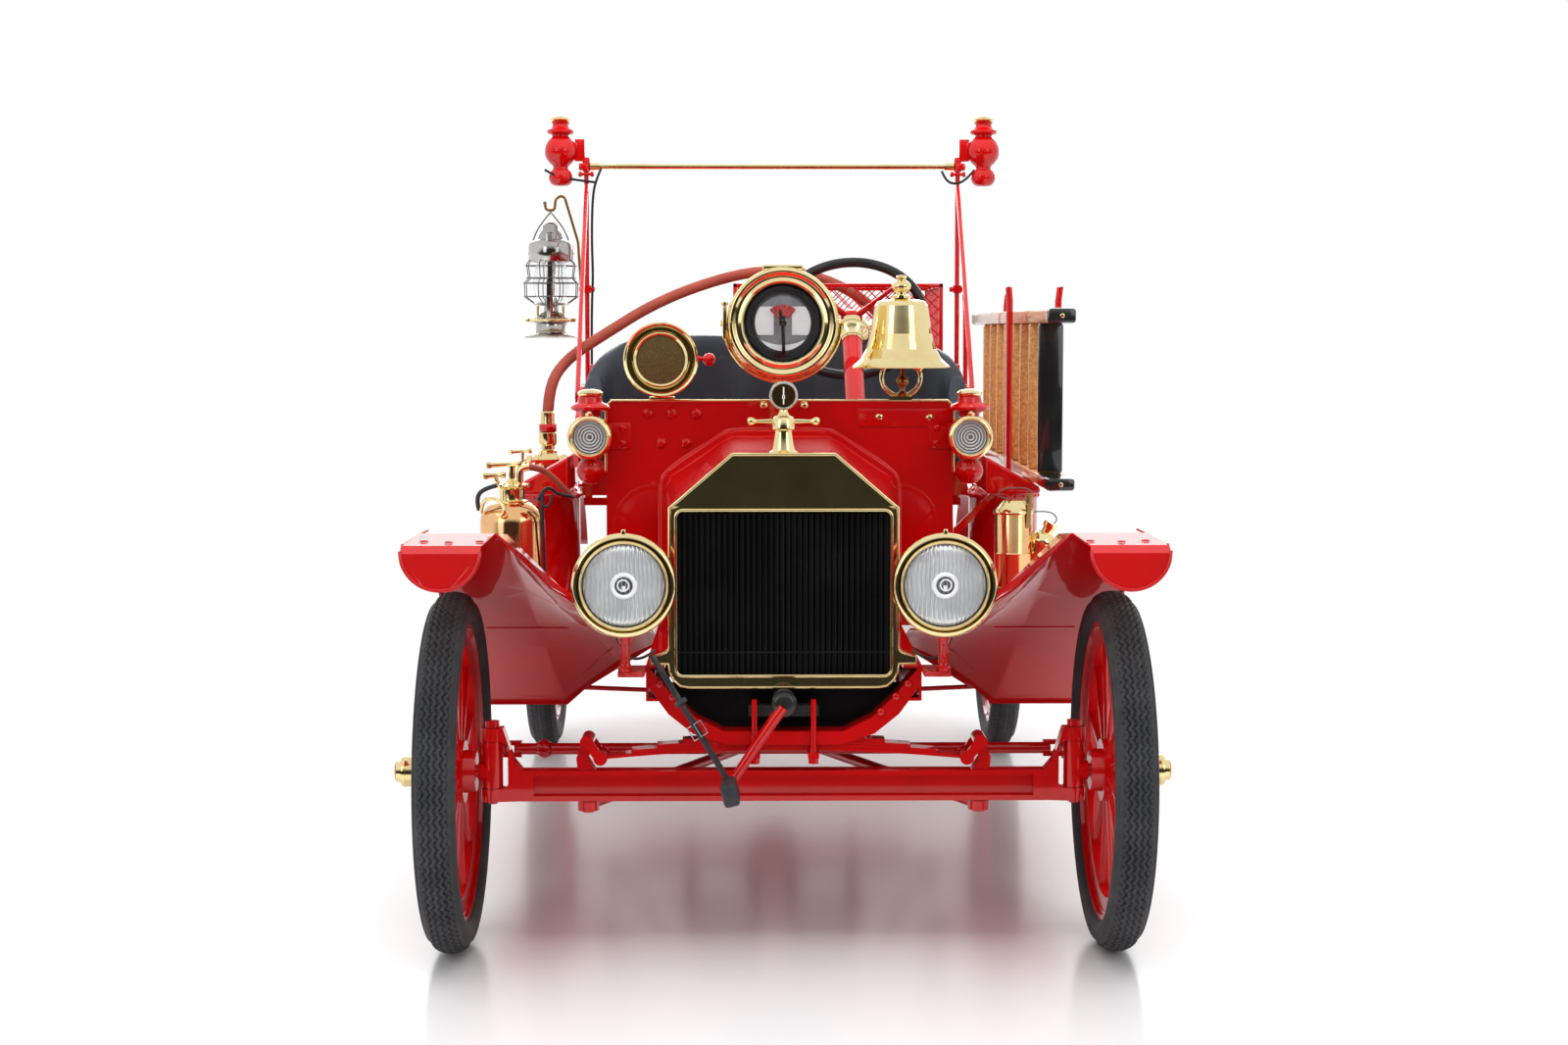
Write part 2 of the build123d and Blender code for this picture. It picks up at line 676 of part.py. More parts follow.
def crank_strap():
    """Leather boot over the crank's grip, and the strap that holds it up to the radiator's ear."""
    front = crank_y
    boot_low, boot_high = crank_arm_z - 30, crank_arm_z + 26
    hole = rod((crank_arm_x, front - 20, crank_arm_z), (crank_arm_x, front - 131, crank_arm_z),
               20 + 2 * seat_gap)
    boot = block(crank_arm_x - 20, crank_arm_x + 20, front - 129, front - 34, boot_low, boot_high) - hole
    top = (-radiator_ear_x + 12, rail_front_y - 8, rail_top_z + 10)
    band = strap((crank_arm_x - 8, front - 60, boot_high - 4), top, 26, 4, (0.86, 0, 0.5))
    tab = block(top[0] - 12, top[0] + 12, top[1] - 3, radiator_front_y - seat_gap, top[2] - 7, top[2] + 5)
    return [fused(boot, band, tab)]


# --- lamps ---
def headlamp():
    """Bowl of sheet metal on a post, with a foot bolted to the side rail."""
    x, y, z = headlamp_centre
    r = headlamp_radius
    bowl = turned([(0, r - 4), (0, r), (42, r), (92, r - 26), (121, r - 61), (125, 0), (120, 0),
                   (116, r - 63),
                   (88, r - 30), (40, r - 4)], headlamp_centre, (0, 1, 0))
    post_y = y + 36
    foot_z = rail_top_z - 4
    post = rod((x, post_y, foot_z), (x, post_y, z - r + 3), 22)
    foot = block(rail_outer_x, x + 15, post_y - 15, rail_front_y + 34, foot_z - 10, foot_z)
    return fused(bowl, post, foot)


def cowl_lamp():
    """Drum with an oil font under it and a chimney over it, on a plate at the firewall's edge."""
    x, y, z = cowl_lamp_centre
    r = cowl_lamp_radius
    drum = rod((x, y, z), (x, firewall_y - 12, z), 2 * r)
    font = turned([(-109, 0), (-109, 12), (-101, 26), (-82, 32), (-62, 28), (-52, 20), (20 - r, 20),
                   (20 - r, 0)],
                  (x, y + 32, z), (0, 0, 1))
    chimney = turned([(r - 20, 0), (r - 20, 24), (60, 22), (68, 40), (74, 42), (80, 30), (96, 26), (96, 0)],
                     (x, y + 32, z), (0, 0, 1))
    plate = block(firewall_half - 13, x + 12, firewall_y - 14, firewall_y, z - 30, z + 30)
    return fused(drum, font, chimney, plate)


def lamp_bodies():
    return mirrored(headlamp(), cowl_lamp())


def lamp_rims():
    """Brass rims of the head and cowl lamps and the cowl lamps' domed caps."""
    head = headlamp_radius
    big = turned([(-14, head - 10), (-14, head + 3), (-8, head + 11), (6, head + 11), (6, head + seat_gap),
                  (-seat_gap, head + seat_gap), (-seat_gap, head - 10)], headlamp_centre, (0, 1, 0))
    cowl = cowl_lamp_radius
    small = turned([(-14, cowl - 10), (-14, cowl - 2), (-9, cowl + 3), (6, cowl + 3), (6, cowl + seat_gap),
                    (-seat_gap, cowl + seat_gap), (-seat_gap, cowl - 10)], cowl_lamp_centre, (0, 1, 0))
    x, y, z = cowl_lamp_centre
    cap = turned([(96 + seat_gap, 0), (96 + seat_gap, 30), (104, 34), (112, 26), (120, 12), (126, 0)],
                 (x, y + 32, z), (0, 0, 1))
    return mirrored(big, small, cap)


def lens(centre, radius, crown):
    """Round glass, crowned at the front, that sits just inside its rim."""
    return turned([(-13 - crown, 0), (-11 - crown * 0.6, radius * 0.6), (-6, radius), (-2, radius),
                   (-2, 0)],
                  centre, (0, 1, 0))


def lamp_lenses():
    front = (searchlight_centre[0], searchlight_centre[1] + 18, searchlight_centre[2])
    return mirrored(lens(headlamp_centre, headlamp_radius - 10 - seat_gap, 2),
                    lens(cowl_lamp_centre, cowl_lamp_radius - 10 - seat_gap, 0)) + [
        lens(front, searchlight_radius - 34 - seat_gap, 0)]


def searchlight():
    """Deep hollow drum with a rolled front rim, in a half-ring yoke on a pedestal."""
    r = searchlight_radius
    x, y, z = searchlight_centre
    drum = turned([(0, r - 34), (0, r - 6), (6, r), (20, r), (28, r - 12), (120, r - 18), (150, r - 40),
                   (170, r - 80),
                   (176, 0), (170, 0), (165, r - 84), (146, r - 45), (118, r - 22), (22, r - 18),
                   (18, r - 34)],
                  searchlight_centre, (0, 1, 0))
    yoke_y = firewall_y + firewall_thickness / 2
    at_yoke = r - 12 - 6 * (yoke_y - y - 28) / 92
    hoop_radius = r + 6
    hoop = Solid.make_torus(hoop_radius, 7, Plane(origin=(x, yoke_y, z), x_dir=(1, 0, 0), z_dir=(0, 1, 0)),
                            major_angle=180)
    pins = [rod((x + side * (at_yoke + seat_gap), yoke_y, z), (x + side * (hoop_radius + 10), yoke_y, z),
                16)
            for side in (-1, 1)]
    pedestal = rod((x, yoke_y, firewall_top_z + 8), (x, yoke_y, z - hoop_radius), 26, 18)
    foot = block(x - 30, x + 30, yoke_y - 13, yoke_y + 13, firewall_top_z, firewall_top_z + 9)
    return [drum, fused(hoop, *pins, pedestal, foot)]


# --- horn and bell ---
def horn():
    """Flared mouth, round motor case, hand crank and foot."""
    x, y, z = horn_centre
    r = horn_radius
    trumpet = turned([(14, 0), (14, r - 14), (0, r - 5), (2, r), (8, r - 2), (30, r - 22), (66, r - 44),
                      (96, r - 51),
                      (104, r - 50), (108, r - 36), (190, r - 36), (200, r - 46), (200, 0)], horn_centre,
                     (0, 1, 0))
    crank = [rod((x + 40, y + 150, z), (x + 92, y + 150, z + 4), 12), ball((x + 106, y + 150, z + 6), 32)]
    middle = firewall_y + firewall_thickness / 2
    leg = rod((x, middle, firewall_top_z + 6), (x, middle, z - 30), 26)
    foot = block(x - 30, x + 30, middle - 13, middle + 13, firewall_top_z, firewall_top_z + 9)
    return [fused(trumpet, *crank, leg, foot)]


def bell():
    """Cast bell on a hoop stand, with its clapper."""
    y = firewall_y + firewall_thickness / 2
    r = bell_radius
    t = bell_wall
    outer = [(0, r), (7, r - 4), (20, r - 19), (44, r - 33), (80, r - 43), (120, r - 49), (146, r - 53),
             (156, r - 60),
             (160, r - 74), (160, 14)]
    finial = [(164, 22), (168, 22), (171, 12), (178, 12), (184, 20), (192, 22), (200, 18), (207, 10),
              (210, 12),
              (214, 9), (217, 0)]
    inner = [(160 - t, 0), (160 - t, r - 76), (144, r - 53 - t), (118, r - 49 - t), (78, r - 43 - t),
             (42, r - 33 - t),
             (18, r - 19 - t), (6, r - 4 - t), (0, r - t)]
    shell = turned(outer + finial + inner, (bell_x, y, bell_mouth_z), (0, 0, 1))
    hoop_z = firewall_top_z + 55
    top = bell_mouth_z + 160 - t - seat_gap
    stand = fused(ring((bell_x, y, hoop_z), (0, 1, 0), 46, 11),
                  rod((bell_x, y, hoop_z + 44), (bell_x, y, top), 14),
                  block(bell_x - 26, bell_x + 26, y - 13, y + 13, firewall_top_z, firewall_top_z + 9),
                  rod((bell_x, y, top - 22), (bell_x + 36, y - 16, bell_mouth_z + 14), 9),
                  ball((bell_x + 39, y - 17, bell_mouth_z + 3), 26),
                  rod((bell_x + 39, y - 17, bell_mouth_z), (bell_x + 44, y - 19, bell_mouth_z - 22), 9))
    return [shell, stand]


# --- fenders and running boards ---
# Stations of a front fender: y, z of its top, x of its inner edge, then x and z of the apron's
# middle and of the apron's edge at the frame.
fender_stations = [
    (-72.0, 893.0, 600.0, 487.0, 782.0, 330.0, 682.0),
    (60.0, 880.0, 588.0, 478.0, 770.0, 318.0, 672.0),
    (250.0, 742.0, 566.0, 452.0, 690.0, 306.0, 652.0),
    (450.0, 590.0, 540.0, 420.0, 612.0, 298.0, 630.0),
    (firewall_y, board_top_z, board_inner_x, apron_mid[0], apron_mid[1], rail_outer_x, apron_edge_z),
]


def fender_section(y, z, inner, mid_x, mid_z, edge_x, edge_z):
    outer = fender_outer_x
    return [(outer, y, z - fender_lip), (outer, y, z), (inner, y, z), (mid_x, y, mid_z),
            (edge_x, y, edge_z),
            (edge_x, y, edge_z - sheet), (mid_x, y, mid_z - sheet), (inner, y, z - sheet),
            (outer - sheet, y, z - sheet), (outer - sheet, y, z - fender_lip)]


def front_fender():
    """Flat-topped sheet with a rounded tongue in front and an apron that twists down to the frame."""
    body = skin([fender_section(*station) for station in fender_stations])
    crown_y, crown_z = fender_stations[0][0], fender_stations[0][1]
    bend_y = fender_nose_y + 52
    tip_z = crown_z - fender_nose_drop
    upper = [(crown_y, crown_z), (bend_y - 16, crown_z - 2), (bend_y - 38, crown_z - 16),
             (fender_nose_y, tip_z)]
    lower = [(fender_nose_y + sheet, tip_z), (bend_y - 35, crown_z - 18),
             (bend_y - 15, crown_z - 2 - sheet),
             (crown_y, crown_z - sheet)]
    bent = prism(upper + lower, "x", fender_inner_x + 12, fender_outer_x)
    half = (fender_outer_x - fender_inner_x - 12) / 2
    middle = fender_outer_x - half
    shoulder = crown_z - 14
    along = Plane(origin=(middle, crown_y, shoulder), x_dir=(1, 0, 0), z_dir=(0, -1, 0))
    reach = crown_y - fender_nose_y + 1
    tongue = extrude(along * Ellipse(half, fender_nose_drop - 14), amount=reach)
    straight = block(middle - half, middle + half, crown_y - reach, crown_y, shoulder, crown_z + 1)
    outline = fused(tongue, straight)
    flange = [(crown_y, crown_z), (bend_y - 16, crown_z - 2), (bend_y - 26, crown_z - 9),
              (bend_y - 6, crown_z - 16),
              (crown_y, crown_z - fender_lip)]
    lip = prism(flange, "x", fender_outer_x - sheet, fender_outer_x)
    return fused(body, bent & outline, lip)


def front_fender_left():
    return [front_fender()]


def front_fender_right():
    return [front_fender().mirror(Plane.YZ)]


def board_end_y():
    rise = board_top_z - axle_height
    return wheelbase - math.sqrt(rear_fender_radius ** 2 - rise ** 2)


def running_boards():
    """Boards on their brackets, with the splash aprons that close them to the frame."""
    low = board_top_z - board_thickness
    start = firewall_y + seat_gap
    board = block(board_inner_x, board_outer_x, start, board_end_y(), low, board_top_z)
    mid_x, mid_z = apron_mid
    edge_z = apron_edge_z
    apron = prism([(board_inner_x, low), (board_inner_x, board_top_z + 2), (mid_x, mid_z),
                   (rail_outer_x, edge_z),
                   (rail_outer_x, edge_z - sheet), (mid_x, mid_z - sheet), (board_inner_x - 5, low)],
                  "y", start, board_end_y())
    edge = block(board_outer_x - 4, board_outer_x, start, board_end_y(), board_top_z, board_top_z + 5)
    return mirrored(fused(board, apron, edge))


def rear_fender():
    inner_x, outer_x = rear_fender_x
    r = rear_fender_radius
    centre = (inner_x, wheelbase, axle_height)
    first = math.asin((board_top_z - axle_height) / r)
    last = math.radians(150)

    def point(angle, radius):
        return (centre[0], centre[1] - radius * math.cos(angle), centre[2] + radius * math.sin(angle))

    middle = (first + last) / 2
    over = ThreePointArc(point(first, r), point(middle, r), point(last, r))
    under = ThreePointArc(point(last, r - sheet), point(middle, r - sheet), point(first, r - sheet))
    side = Face(Wire([over, Line(over @ 1, under @ 0), under, Line(under @ 1, over @ 0)]))
    arch = Solid.extrude(side, Vector(outer_x - inner_x, 0, 0))
    hub = axle_height + r - sheet
    stay = block(bed_half, inner_x + 40, wheelbase - 15, wheelbase + 15, hub - 9, hub - seat_gap)
    return [arch, stay]


def rear_fenders():
    return mirrored(*rear_fender())


# --- floor and seat ---
def floor_boards():
    """Floor and sloped toe board, with three pedals and the brake lever."""
    front = firewall_y + firewall_thickness + seat_gap
    floor_top = rail_top_z + 24
    floor = block(-floor_half, floor_half, front, seat_box_front, rail_top_z, floor_top)
    toe = prism([(front, floor_top), (front, floor_top + 120), (front + 16, floor_top + 120),
                 (front + 190, floor_top)], "x", -floor_half, floor_half)
    pedals = []
    for x in (110, 180, 250):
        pad = (x, front + 168, floor_top + 88)
        pedals += [rod((x, front + 96, floor_top + 30), pad, 14),
                   rod(pad, (x, front + 176, floor_top + 96), 62)]
    lever = rod((430, front + 260, floor_top - 4), (430, front + 330, floor_top + 330), 20, 16)
    return [fused(floor, toe, *pedals, lever)]


def seat_box():
    """Wooden box under the cushion, with panels behind and beside the upholstered back."""
    back = seat_back_y + seat_back_thickness + seat_gap
    rear = back + seat_panel
    reach = seat_half + seat_gap
    base = block(-cushion_half + 6, cushion_half - 6, seat_box_front, rear, rail_top_z, seat_base_z - 12)
    deck = block(-cushion_half - 4, cushion_half + 4, seat_box_front - 8, rear, seat_base_z - 12,
                 seat_base_z)
    side_low = seat_base_z + cushion_height - 8
    side = prism([(seat_wing_front_y + 4, side_low), (seat_wing_front_y + 20, side_low + 30),
                  (seat_wing_front_y + 90, seat_base_z + 232), (seat_back_y, seat_base_z + 306),
                  (rear, seat_base_z + 312), (rear, side_low)], "x", reach, reach + seat_panel)
    panel = block(-reach - seat_panel, reach + seat_panel, back, rear, seat_base_z - 1, seat_base_z + 312)
    return [fused(base, deck, panel, *mirrored(side))]


def seat_cushion():
    pad = block(-cushion_half, cushion_half, seat_front_y, seat_back_y - seat_gap, seat_base_z + seat_gap,
                seat_base_z + cushion_height)
    return [fillet(pad.edges().group_by(Axis.Z)[-1], 22)]


def seat_back():
    """Upholstered back with an arched top and a wing down each side of the seat."""
    low = seat_base_z + cushion_height + seat_gap
    half = seat_half
    corner = 70.0
    edge_z = seat_corner_z - corner
    y = seat_back_y
    sides = [Line((-half, y, low), (half, y, low)), Line((half, y, low), (half, y, edge_z)),
             ThreePointArc((half, y, edge_z), (half - 20, y, seat_corner_z - 18),
                           (half - corner, y, seat_corner_z)),
             ThreePointArc((half - corner, y, seat_corner_z), (0, y, seat_back_top_z),
                           (corner - half, y, seat_corner_z)),
             ThreePointArc((corner - half, y, seat_corner_z), (20 - half, y, seat_corner_z - 18),
                           (-half, y, edge_z)),
             Line((-half, y, edge_z), (-half, y, low))]
    back = Solid.extrude(Face(Wire(sides)), Vector(0, seat_back_thickness, 0))
    wing = prism([(seat_wing_front_y, low), (seat_wing_front_y + 6, low + 28),
                  (seat_wing_front_y + 90, low + 146),
                  (seat_back_y + 1, low + 212), (seat_back_y + 1, low)], "x", half - 62, half)
    return [fused(back, *mirrored(wing))]


# --- steering ---
def steering_column():
    """Jacket from the gear case under the wheel to the bracket on the side rail."""
    jacket = rod(column_point(30), column_point(column_length), column_diameter)
    case = turned([(0, 0), (0, 30), (6, 44), (30, 46), (36, 40), (52, column_diameter / 2), (52, 0)],
                  column_point(0), tuple(-c for c in column_axis))
    anchor = column_point(column_length - 96)
    reach = rail_outer_x - rail_wall - seat_gap
    bracket = block(column_x, reach, anchor[1] - 12, anchor[1] + 12, anchor[2] - 13, anchor[2] + 13)
    upper = rod(column_point(-1), column_point(wheel_shaft_depth + 4),
                wheel_shaft_diameter + 2 * bearing_clearance)
    lower = rod(column_point(column_length - pitman_shaft_depth - 4), column_point(column_length + 1),
                pitman_shaft_diameter + 2 * bearing_clearance)
    return [fused(jacket, case, bracket) - upper - lower]


def steering_wheel():
    """Rim on a four-armed spider, with a short shaft down into the gear case."""
    hub = column_point(-wheel_rise)
    radius = (steering_wheel_diameter - steering_rim_diameter) / 2
    rim = ring(hub, column_axis, radius, steering_rim_diameter)
    boss = turned([(-14, 0), (-14, 22), (8, 30), (16, 18), (20, 0)], hub, column_axis)
    shaft = rod(hub, column_point(wheel_shaft_depth), wheel_shaft_diameter)
    across = Vector(1, 0, 0)
    up = Vector(*column_axis).cross(across)
    arms = []
    for index in range(4):
        angle = math.radians(45 + 90 * index)
        way = across * math.cos(angle) + up * math.sin(angle)
        centre = Vector(*hub)
        arms.append(rod(tuple(centre + way * 12), tuple(centre + way * (radius - 2)), 20, 13))
    return [fused(rim, boss, shaft, *arms)]


def pitman_ball():
    """Centre of the ball at the drop arm's end."""
    start = column_point(column_length + pitman_drop)
    angle = math.radians(column_angle)
    return (column_x, start[1] + pitman_length * math.sin(angle),
            start[2] - pitman_length * math.cos(angle))


def pitman_arm():
    start = column_point(column_length + pitman_drop)
    shaft = rod(column_point(column_length - pitman_shaft_depth), start, pitman_shaft_diameter)
    boss = rod(column_point(column_length + 6), column_point(column_length + pitman_drop + 14), 40)
    return [fused(shaft, boss, rod(start, pitman_ball(), 24, 13),
                  ball(pitman_ball(), pitman_ball_diameter))]


def knuckle():
    """Steering knuckle of the left wheel: body, kingpin, spindle and rearward arm."""
    low = fork_bottom_z + fork_ear_height + knuckle_gap
    high = fork_top_z - fork_ear_height - knuckle_gap
    body = rod((kingpin_x, 0, low), (kingpin_x, 0, high), 44)
    pin = rod((kingpin_x, 0, fork_bottom_z - 6), (kingpin_x, 0, fork_top_z + 8), kingpin_diameter)
    head = rod((kingpin_x, 0, fork_top_z + knuckle_gap), (kingpin_x, 0, fork_top_z + 14), 30)
    shoulder = rod((kingpin_x, 0, axle_height), (kingpin_x + 30, 0, axle_height), 40)
    spindle = rod((kingpin_x, 0, axle_height), (front_tread / 2 + spindle_reach, 0, axle_height),
                  spindle_diameter)
    half = steering_arm_thickness / 2
    arm = block(kingpin_x - 11, kingpin_x + 11, 4, steering_arm, steering_arm_z - half,
                steering_arm_z + half)
    eye = rod((kingpin_x, steering_arm, steering_arm_z - half),
              (kingpin_x, steering_arm, steering_arm_z + half), 34)
    hole = rod((kingpin_x, steering_arm, steering_arm_z - 20),
               (kingpin_x, steering_arm, steering_arm_z + 20),
               tie_pin_diameter + 2 * bearing_clearance)
    return fused(body, pin, head, shoulder, spindle, arm, eye) - hole


def knuckle_left():
    return [knuckle()]


def knuckle_right():
    return [knuckle().mirror(Plane.YZ)]


def tie_rod():
    """Rod between the steering arms with a forked end at each, and the drag link to the drop arm's ball."""
    z = steering_arm_z
    y = steering_arm
    gap = steering_arm_thickness / 2 + 1.0
    cheek = 8.0
    inner = kingpin_x - 32
    ends = []
    for low in (z - gap - cheek, z + gap):
        ends += [rod((kingpin_x, y, low), (kingpin_x, y, low + cheek), 30),
                 block(inner, kingpin_x, y - 11, y + 11, low, low + cheek)]
    ends += [block(inner - 16, inner, y - 11, y + 11, z - gap - cheek, z + gap + cheek),
             rod((kingpin_x, y, z - gap - cheek - 6), (kingpin_x, y, z + gap + cheek + 6),
                 tie_pin_diameter)]
    bar = rod((-inner, y, z), (inner, y, z), 25)
    socket = pitman_ball()
    start = (-drag_link_x, y, z)
    cup = ball(socket, pitman_ball_diameter + 14) - ball(socket, pitman_ball_diameter + 1.0)
    cup = cup - block(socket[0] - 40, socket[0] + 40, socket[1] - 40, socket[1] + 40,
                      socket[2] - pitman_ball_diameter / 4, socket[2] + 40)
    run = Vector(*socket) - Vector(*start)
    stop = Vector(*socket) - run.normalized() * (pitman_ball_diameter / 2 + 4) - Vector(0, 0, 10)
    link = rod(start, tuple(stop), 20)
    return [fused(bar, *mirrored(*ends), ball(start, 40), link, cup)]


# --- wheels ---
def wooden_wheel(centre_x, centre_y, rim_radius, rim_width, hub_parts):
    """Turned hub, tapered spokes and a felloe under a steel rim, for the left side."""
    centre = (centre_x, centre_y, axle_height)
    felloe_radius = rim_radius - 12
    root = felloe_radius - felloe_depth
    half = rim_width / 2
    felloe = turned([(-half + 12, root), (-half + 8, felloe_radius), (-half, felloe_radius + 2),
                     (-half, rim_radius),
                     (half, rim_radius), (half, felloe_radius + 2), (half - 8, felloe_radius),
                     (half - 12, root)],
                    centre, (1, 0, 0))
    spokes = []
    for index in range(spoke_count):
        angle = 2 * math.pi * (index + 0.5) / spoke_count
        way = Vector(0, math.sin(angle), math.cos(angle))
        start = Vector(*centre) + way * (hub_flange_radius - 6)
        end = Vector(*centre) + way * (root + 6)
        spokes.append(rod(tuple(start), tuple(end), spoke_root_diameter, spoke_tip_diameter))
    return fused(felloe, *spokes, *hub_parts)


def front_wheel():
    x = front_tread / 2
    bore = spindle_diameter / 2 + bearing_clearance
    cap = hub_cap_x - x
    hub = turned([(-48, bore), (-48, 42), (-24, 46), (-24, hub_flange_radius), (24, hub_flange_radius),
                  (24, 44), (78, 34), (82, 30), (cap - 20, 30),
                  (cap - 18, 22), (cap - 4, 22), (cap, 16), (cap, 0), (spindle_reach + 6, 0),
                  (spindle_reach + 6, bore)],
                 (x, 0, axle_height), (1, 0, 0))
    return wooden_wheel(x, 0, tyre_diameter / 2 - front_tyre_width + rim_bead, 58, [hub])


def rear_wheel():
    x = rear_tread / 2
    cap = hub_cap_x - x - 10
    hub = turned([(-58, 0), (-58, 40), (-26, 46), (-26, hub_flange_radius), (26, hub_flange_radius),
                  (26, 44), (70, 34), (74, 30), (cap - 20, 30),
                  (cap - 18, 22), (cap - 4, 22), (cap, 16), (cap, 0)], (x, wheelbase, axle_height),
                 (1, 0, 0))
    drum_open = rear_housing_x + drum_gap - x
    drum = turned([(drum_open, 132), (drum_open, 140), (-44, 140), (-44, 30), (-50, 30), (-50, 132)],
                  (x, wheelbase, axle_height), (1, 0, 0))
    shaft = rod((rear_housing_x - rear_shaft_reach, wheelbase, axle_height), (x, wheelbase, axle_height),
                rear_shaft_diameter)
    return wooden_wheel(x, wheelbase, tyre_diameter / 2 - rear_tyre_width + rim_bead, 66,
                        [hub, drum, shaft])


def tyre(centre_x, centre_y, width):
    """Round-section tyre, flat where it seats on the rim."""
    outer = tyre_diameter / 2
    half = width / 2
    seat = outer - width + rim_bead
    centre = outer - half
    spread = math.sqrt(half ** 2 - (centre - seat) ** 2)
    side = ThreePointArc((seat, 0, -spread), (outer, 0, 0), (seat, 0, spread))
    outline = Face(Wire([side, Line(side @ 1, side @ 0)]))
    return Plane(origin=(centre_x, centre_y, axle_height), z_dir=(1, 0, 0)) * Solid.revolve(outline, 360,
                                                                                            Axis.Z)


# --- rear body ---
def rear_bed():
    """Equipment body on its sills, open below, with a step hung behind it."""
    deck = block(-bed_half, bed_half, bed_front_y, bed_rear_y, bed_deck_z - bed_deck_thickness, bed_deck_z)
    wall = bed_wall
    under = bed_deck_z - bed_deck_thickness
    sides = mirrored(block(bed_half - wall, bed_half, bed_front_y, bed_rear_y, bed_side_z, under))
    ends = [block(-bed_half, bed_half, y, y + wall, bed_side_z, under)
            for y in (bed_front_y, bed_rear_y - wall)]
    sills = mirrored(block(rail_outer_x - rail_flange, rail_outer_x, bed_front_y, bed_rear_y, rail_top_z,
                           under))
    hanger_x = rail_outer_x - rail_flange / 2
    hangers = mirrored(block(hanger_x - 20, hanger_x + 20, bed_rear_y, bed_rear_y + 12, step_z - 30,
                             bed_side_z + 60),
                       prism([(bed_rear_y, step_z - 22), (bed_rear_y, step_z - 40),
                              (step_rear_y - 12, step_z - 34),
                              (step_rear_y - 12, step_z - 22)], "x", hanger_x - 20, hanger_x + 20))
    step = block(-step_half, step_half, bed_rear_y + 12, step_rear_y, step_z - 22, step_z)
    return [fused(deck, *sides, *ends, *sills, *hangers, step)]


def rear_posts():
    """Tall posts at the bed's sides, their feet, clamps and the struts down to the seat's side panels."""
    panel_x = seat_half + seat_gap + seat_panel
    foot = block(bed_half, post_x + 14, post_y - 15, post_y + 15, post_foot_z - 24, post_foot_z)
    collar = rod((post_x, post_y, post_foot_z), (post_x, post_y, post_foot_z + 40), 26)
    post = rod((post_x, post_y, post_foot_z), (post_x, post_y, post_top_z), post_diameter)
    strut_top = (post_x, post_y, strut_top_z)
    strut_foot = (panel_x + 9, strut_foot_y, strut_foot_z)
    strut = rod(strut_foot, strut_top, post_diameter - 1)
    pad = block(panel_x, panel_x + 14, strut_foot_y - 15, strut_foot_y + 15, strut_foot_z - 16,
                strut_foot_z + 16)
    clamp = block(post_x - 13, post_x + 13, post_y - 14, post_y + 14, lantern_clamp_z - 12,
                  lantern_clamp_z + 12)
    socket = rod((post_x, post_y, rail_bar_z - 22), (post_x, post_y, post_top_z + 4), 24)
    return mirrored(fused(foot, collar, post, strut, pad, clamp, socket))


def post_rail():
    """Brass bar across the tops of the posts."""
    reach = post_x - 12 - seat_gap
    bar = rod((-reach, post_y, rail_bar_z - 6), (reach, post_y, rail_bar_z - 6), rail_bar_diameter - 8)
    ends = mirrored(rod((reach - 30, post_y, rail_bar_z - 6), (reach, post_y, rail_bar_z - 6),
                        rail_bar_diameter))
    return [fused(bar, *ends)]


def post_lamps():
    """Oil lamps of turned sheet metal, each on a plate from its post."""
    place = (post_lamp_x, post_y, post_lamp_z)
    body = turned([(0, 0), (0, 12), (8, 28), (28, 38), (46, 36), (58, 26), (64, 24), (70, 34), (90, 47),
                   (112, 52),
                   (134, 46), (152, 30), (156, 28), (162, 44), (170, 48), (178, 30), (198, 26), (206, 36),
                   (214, 34),
                   (220, 14), (224, 0)], place, (0, 0, 1))
    plate_x = post_x + 12 + seat_gap
    plate = block(plate_x, post_lamp_x - 30, post_y - 5, post_y + 5, post_lamp_z + 68, post_lamp_z + 112)
    grip = block(plate_x, plate_x + 8, post_y - 16, post_y + 16, post_lamp_z + 50, post_lamp_z + 72)
    return mirrored(fused(body, plate, grip))


def lantern_arm():
    """Curved rod that carries the hanging lantern off the right-hand post."""
    x0 = -post_x - 13 - seat_gap
    z0 = lantern_clamp_z
    hook = lantern_hook_z
    path = [(x0 - 6, post_y + 20, z0), (x0 - 16, post_y + 24, z0 + 150),
            (lantern_x + 40, post_y + 14, hook + 52), (lantern_x + 16, post_y, hook + 34),
            (lantern_x + 12, post_y, hook), (lantern_x - 14, post_y, hook),
            (lantern_x - 18, post_y, hook + 22)]
    foot = block(x0 - 4, x0, post_y - 12, post_y + 28, z0 - 10, z0 + 10)
    return [fused(foot, tube_along(path, [70, 14, 12, 10, 10], 9), ball(path[-1], 12))]


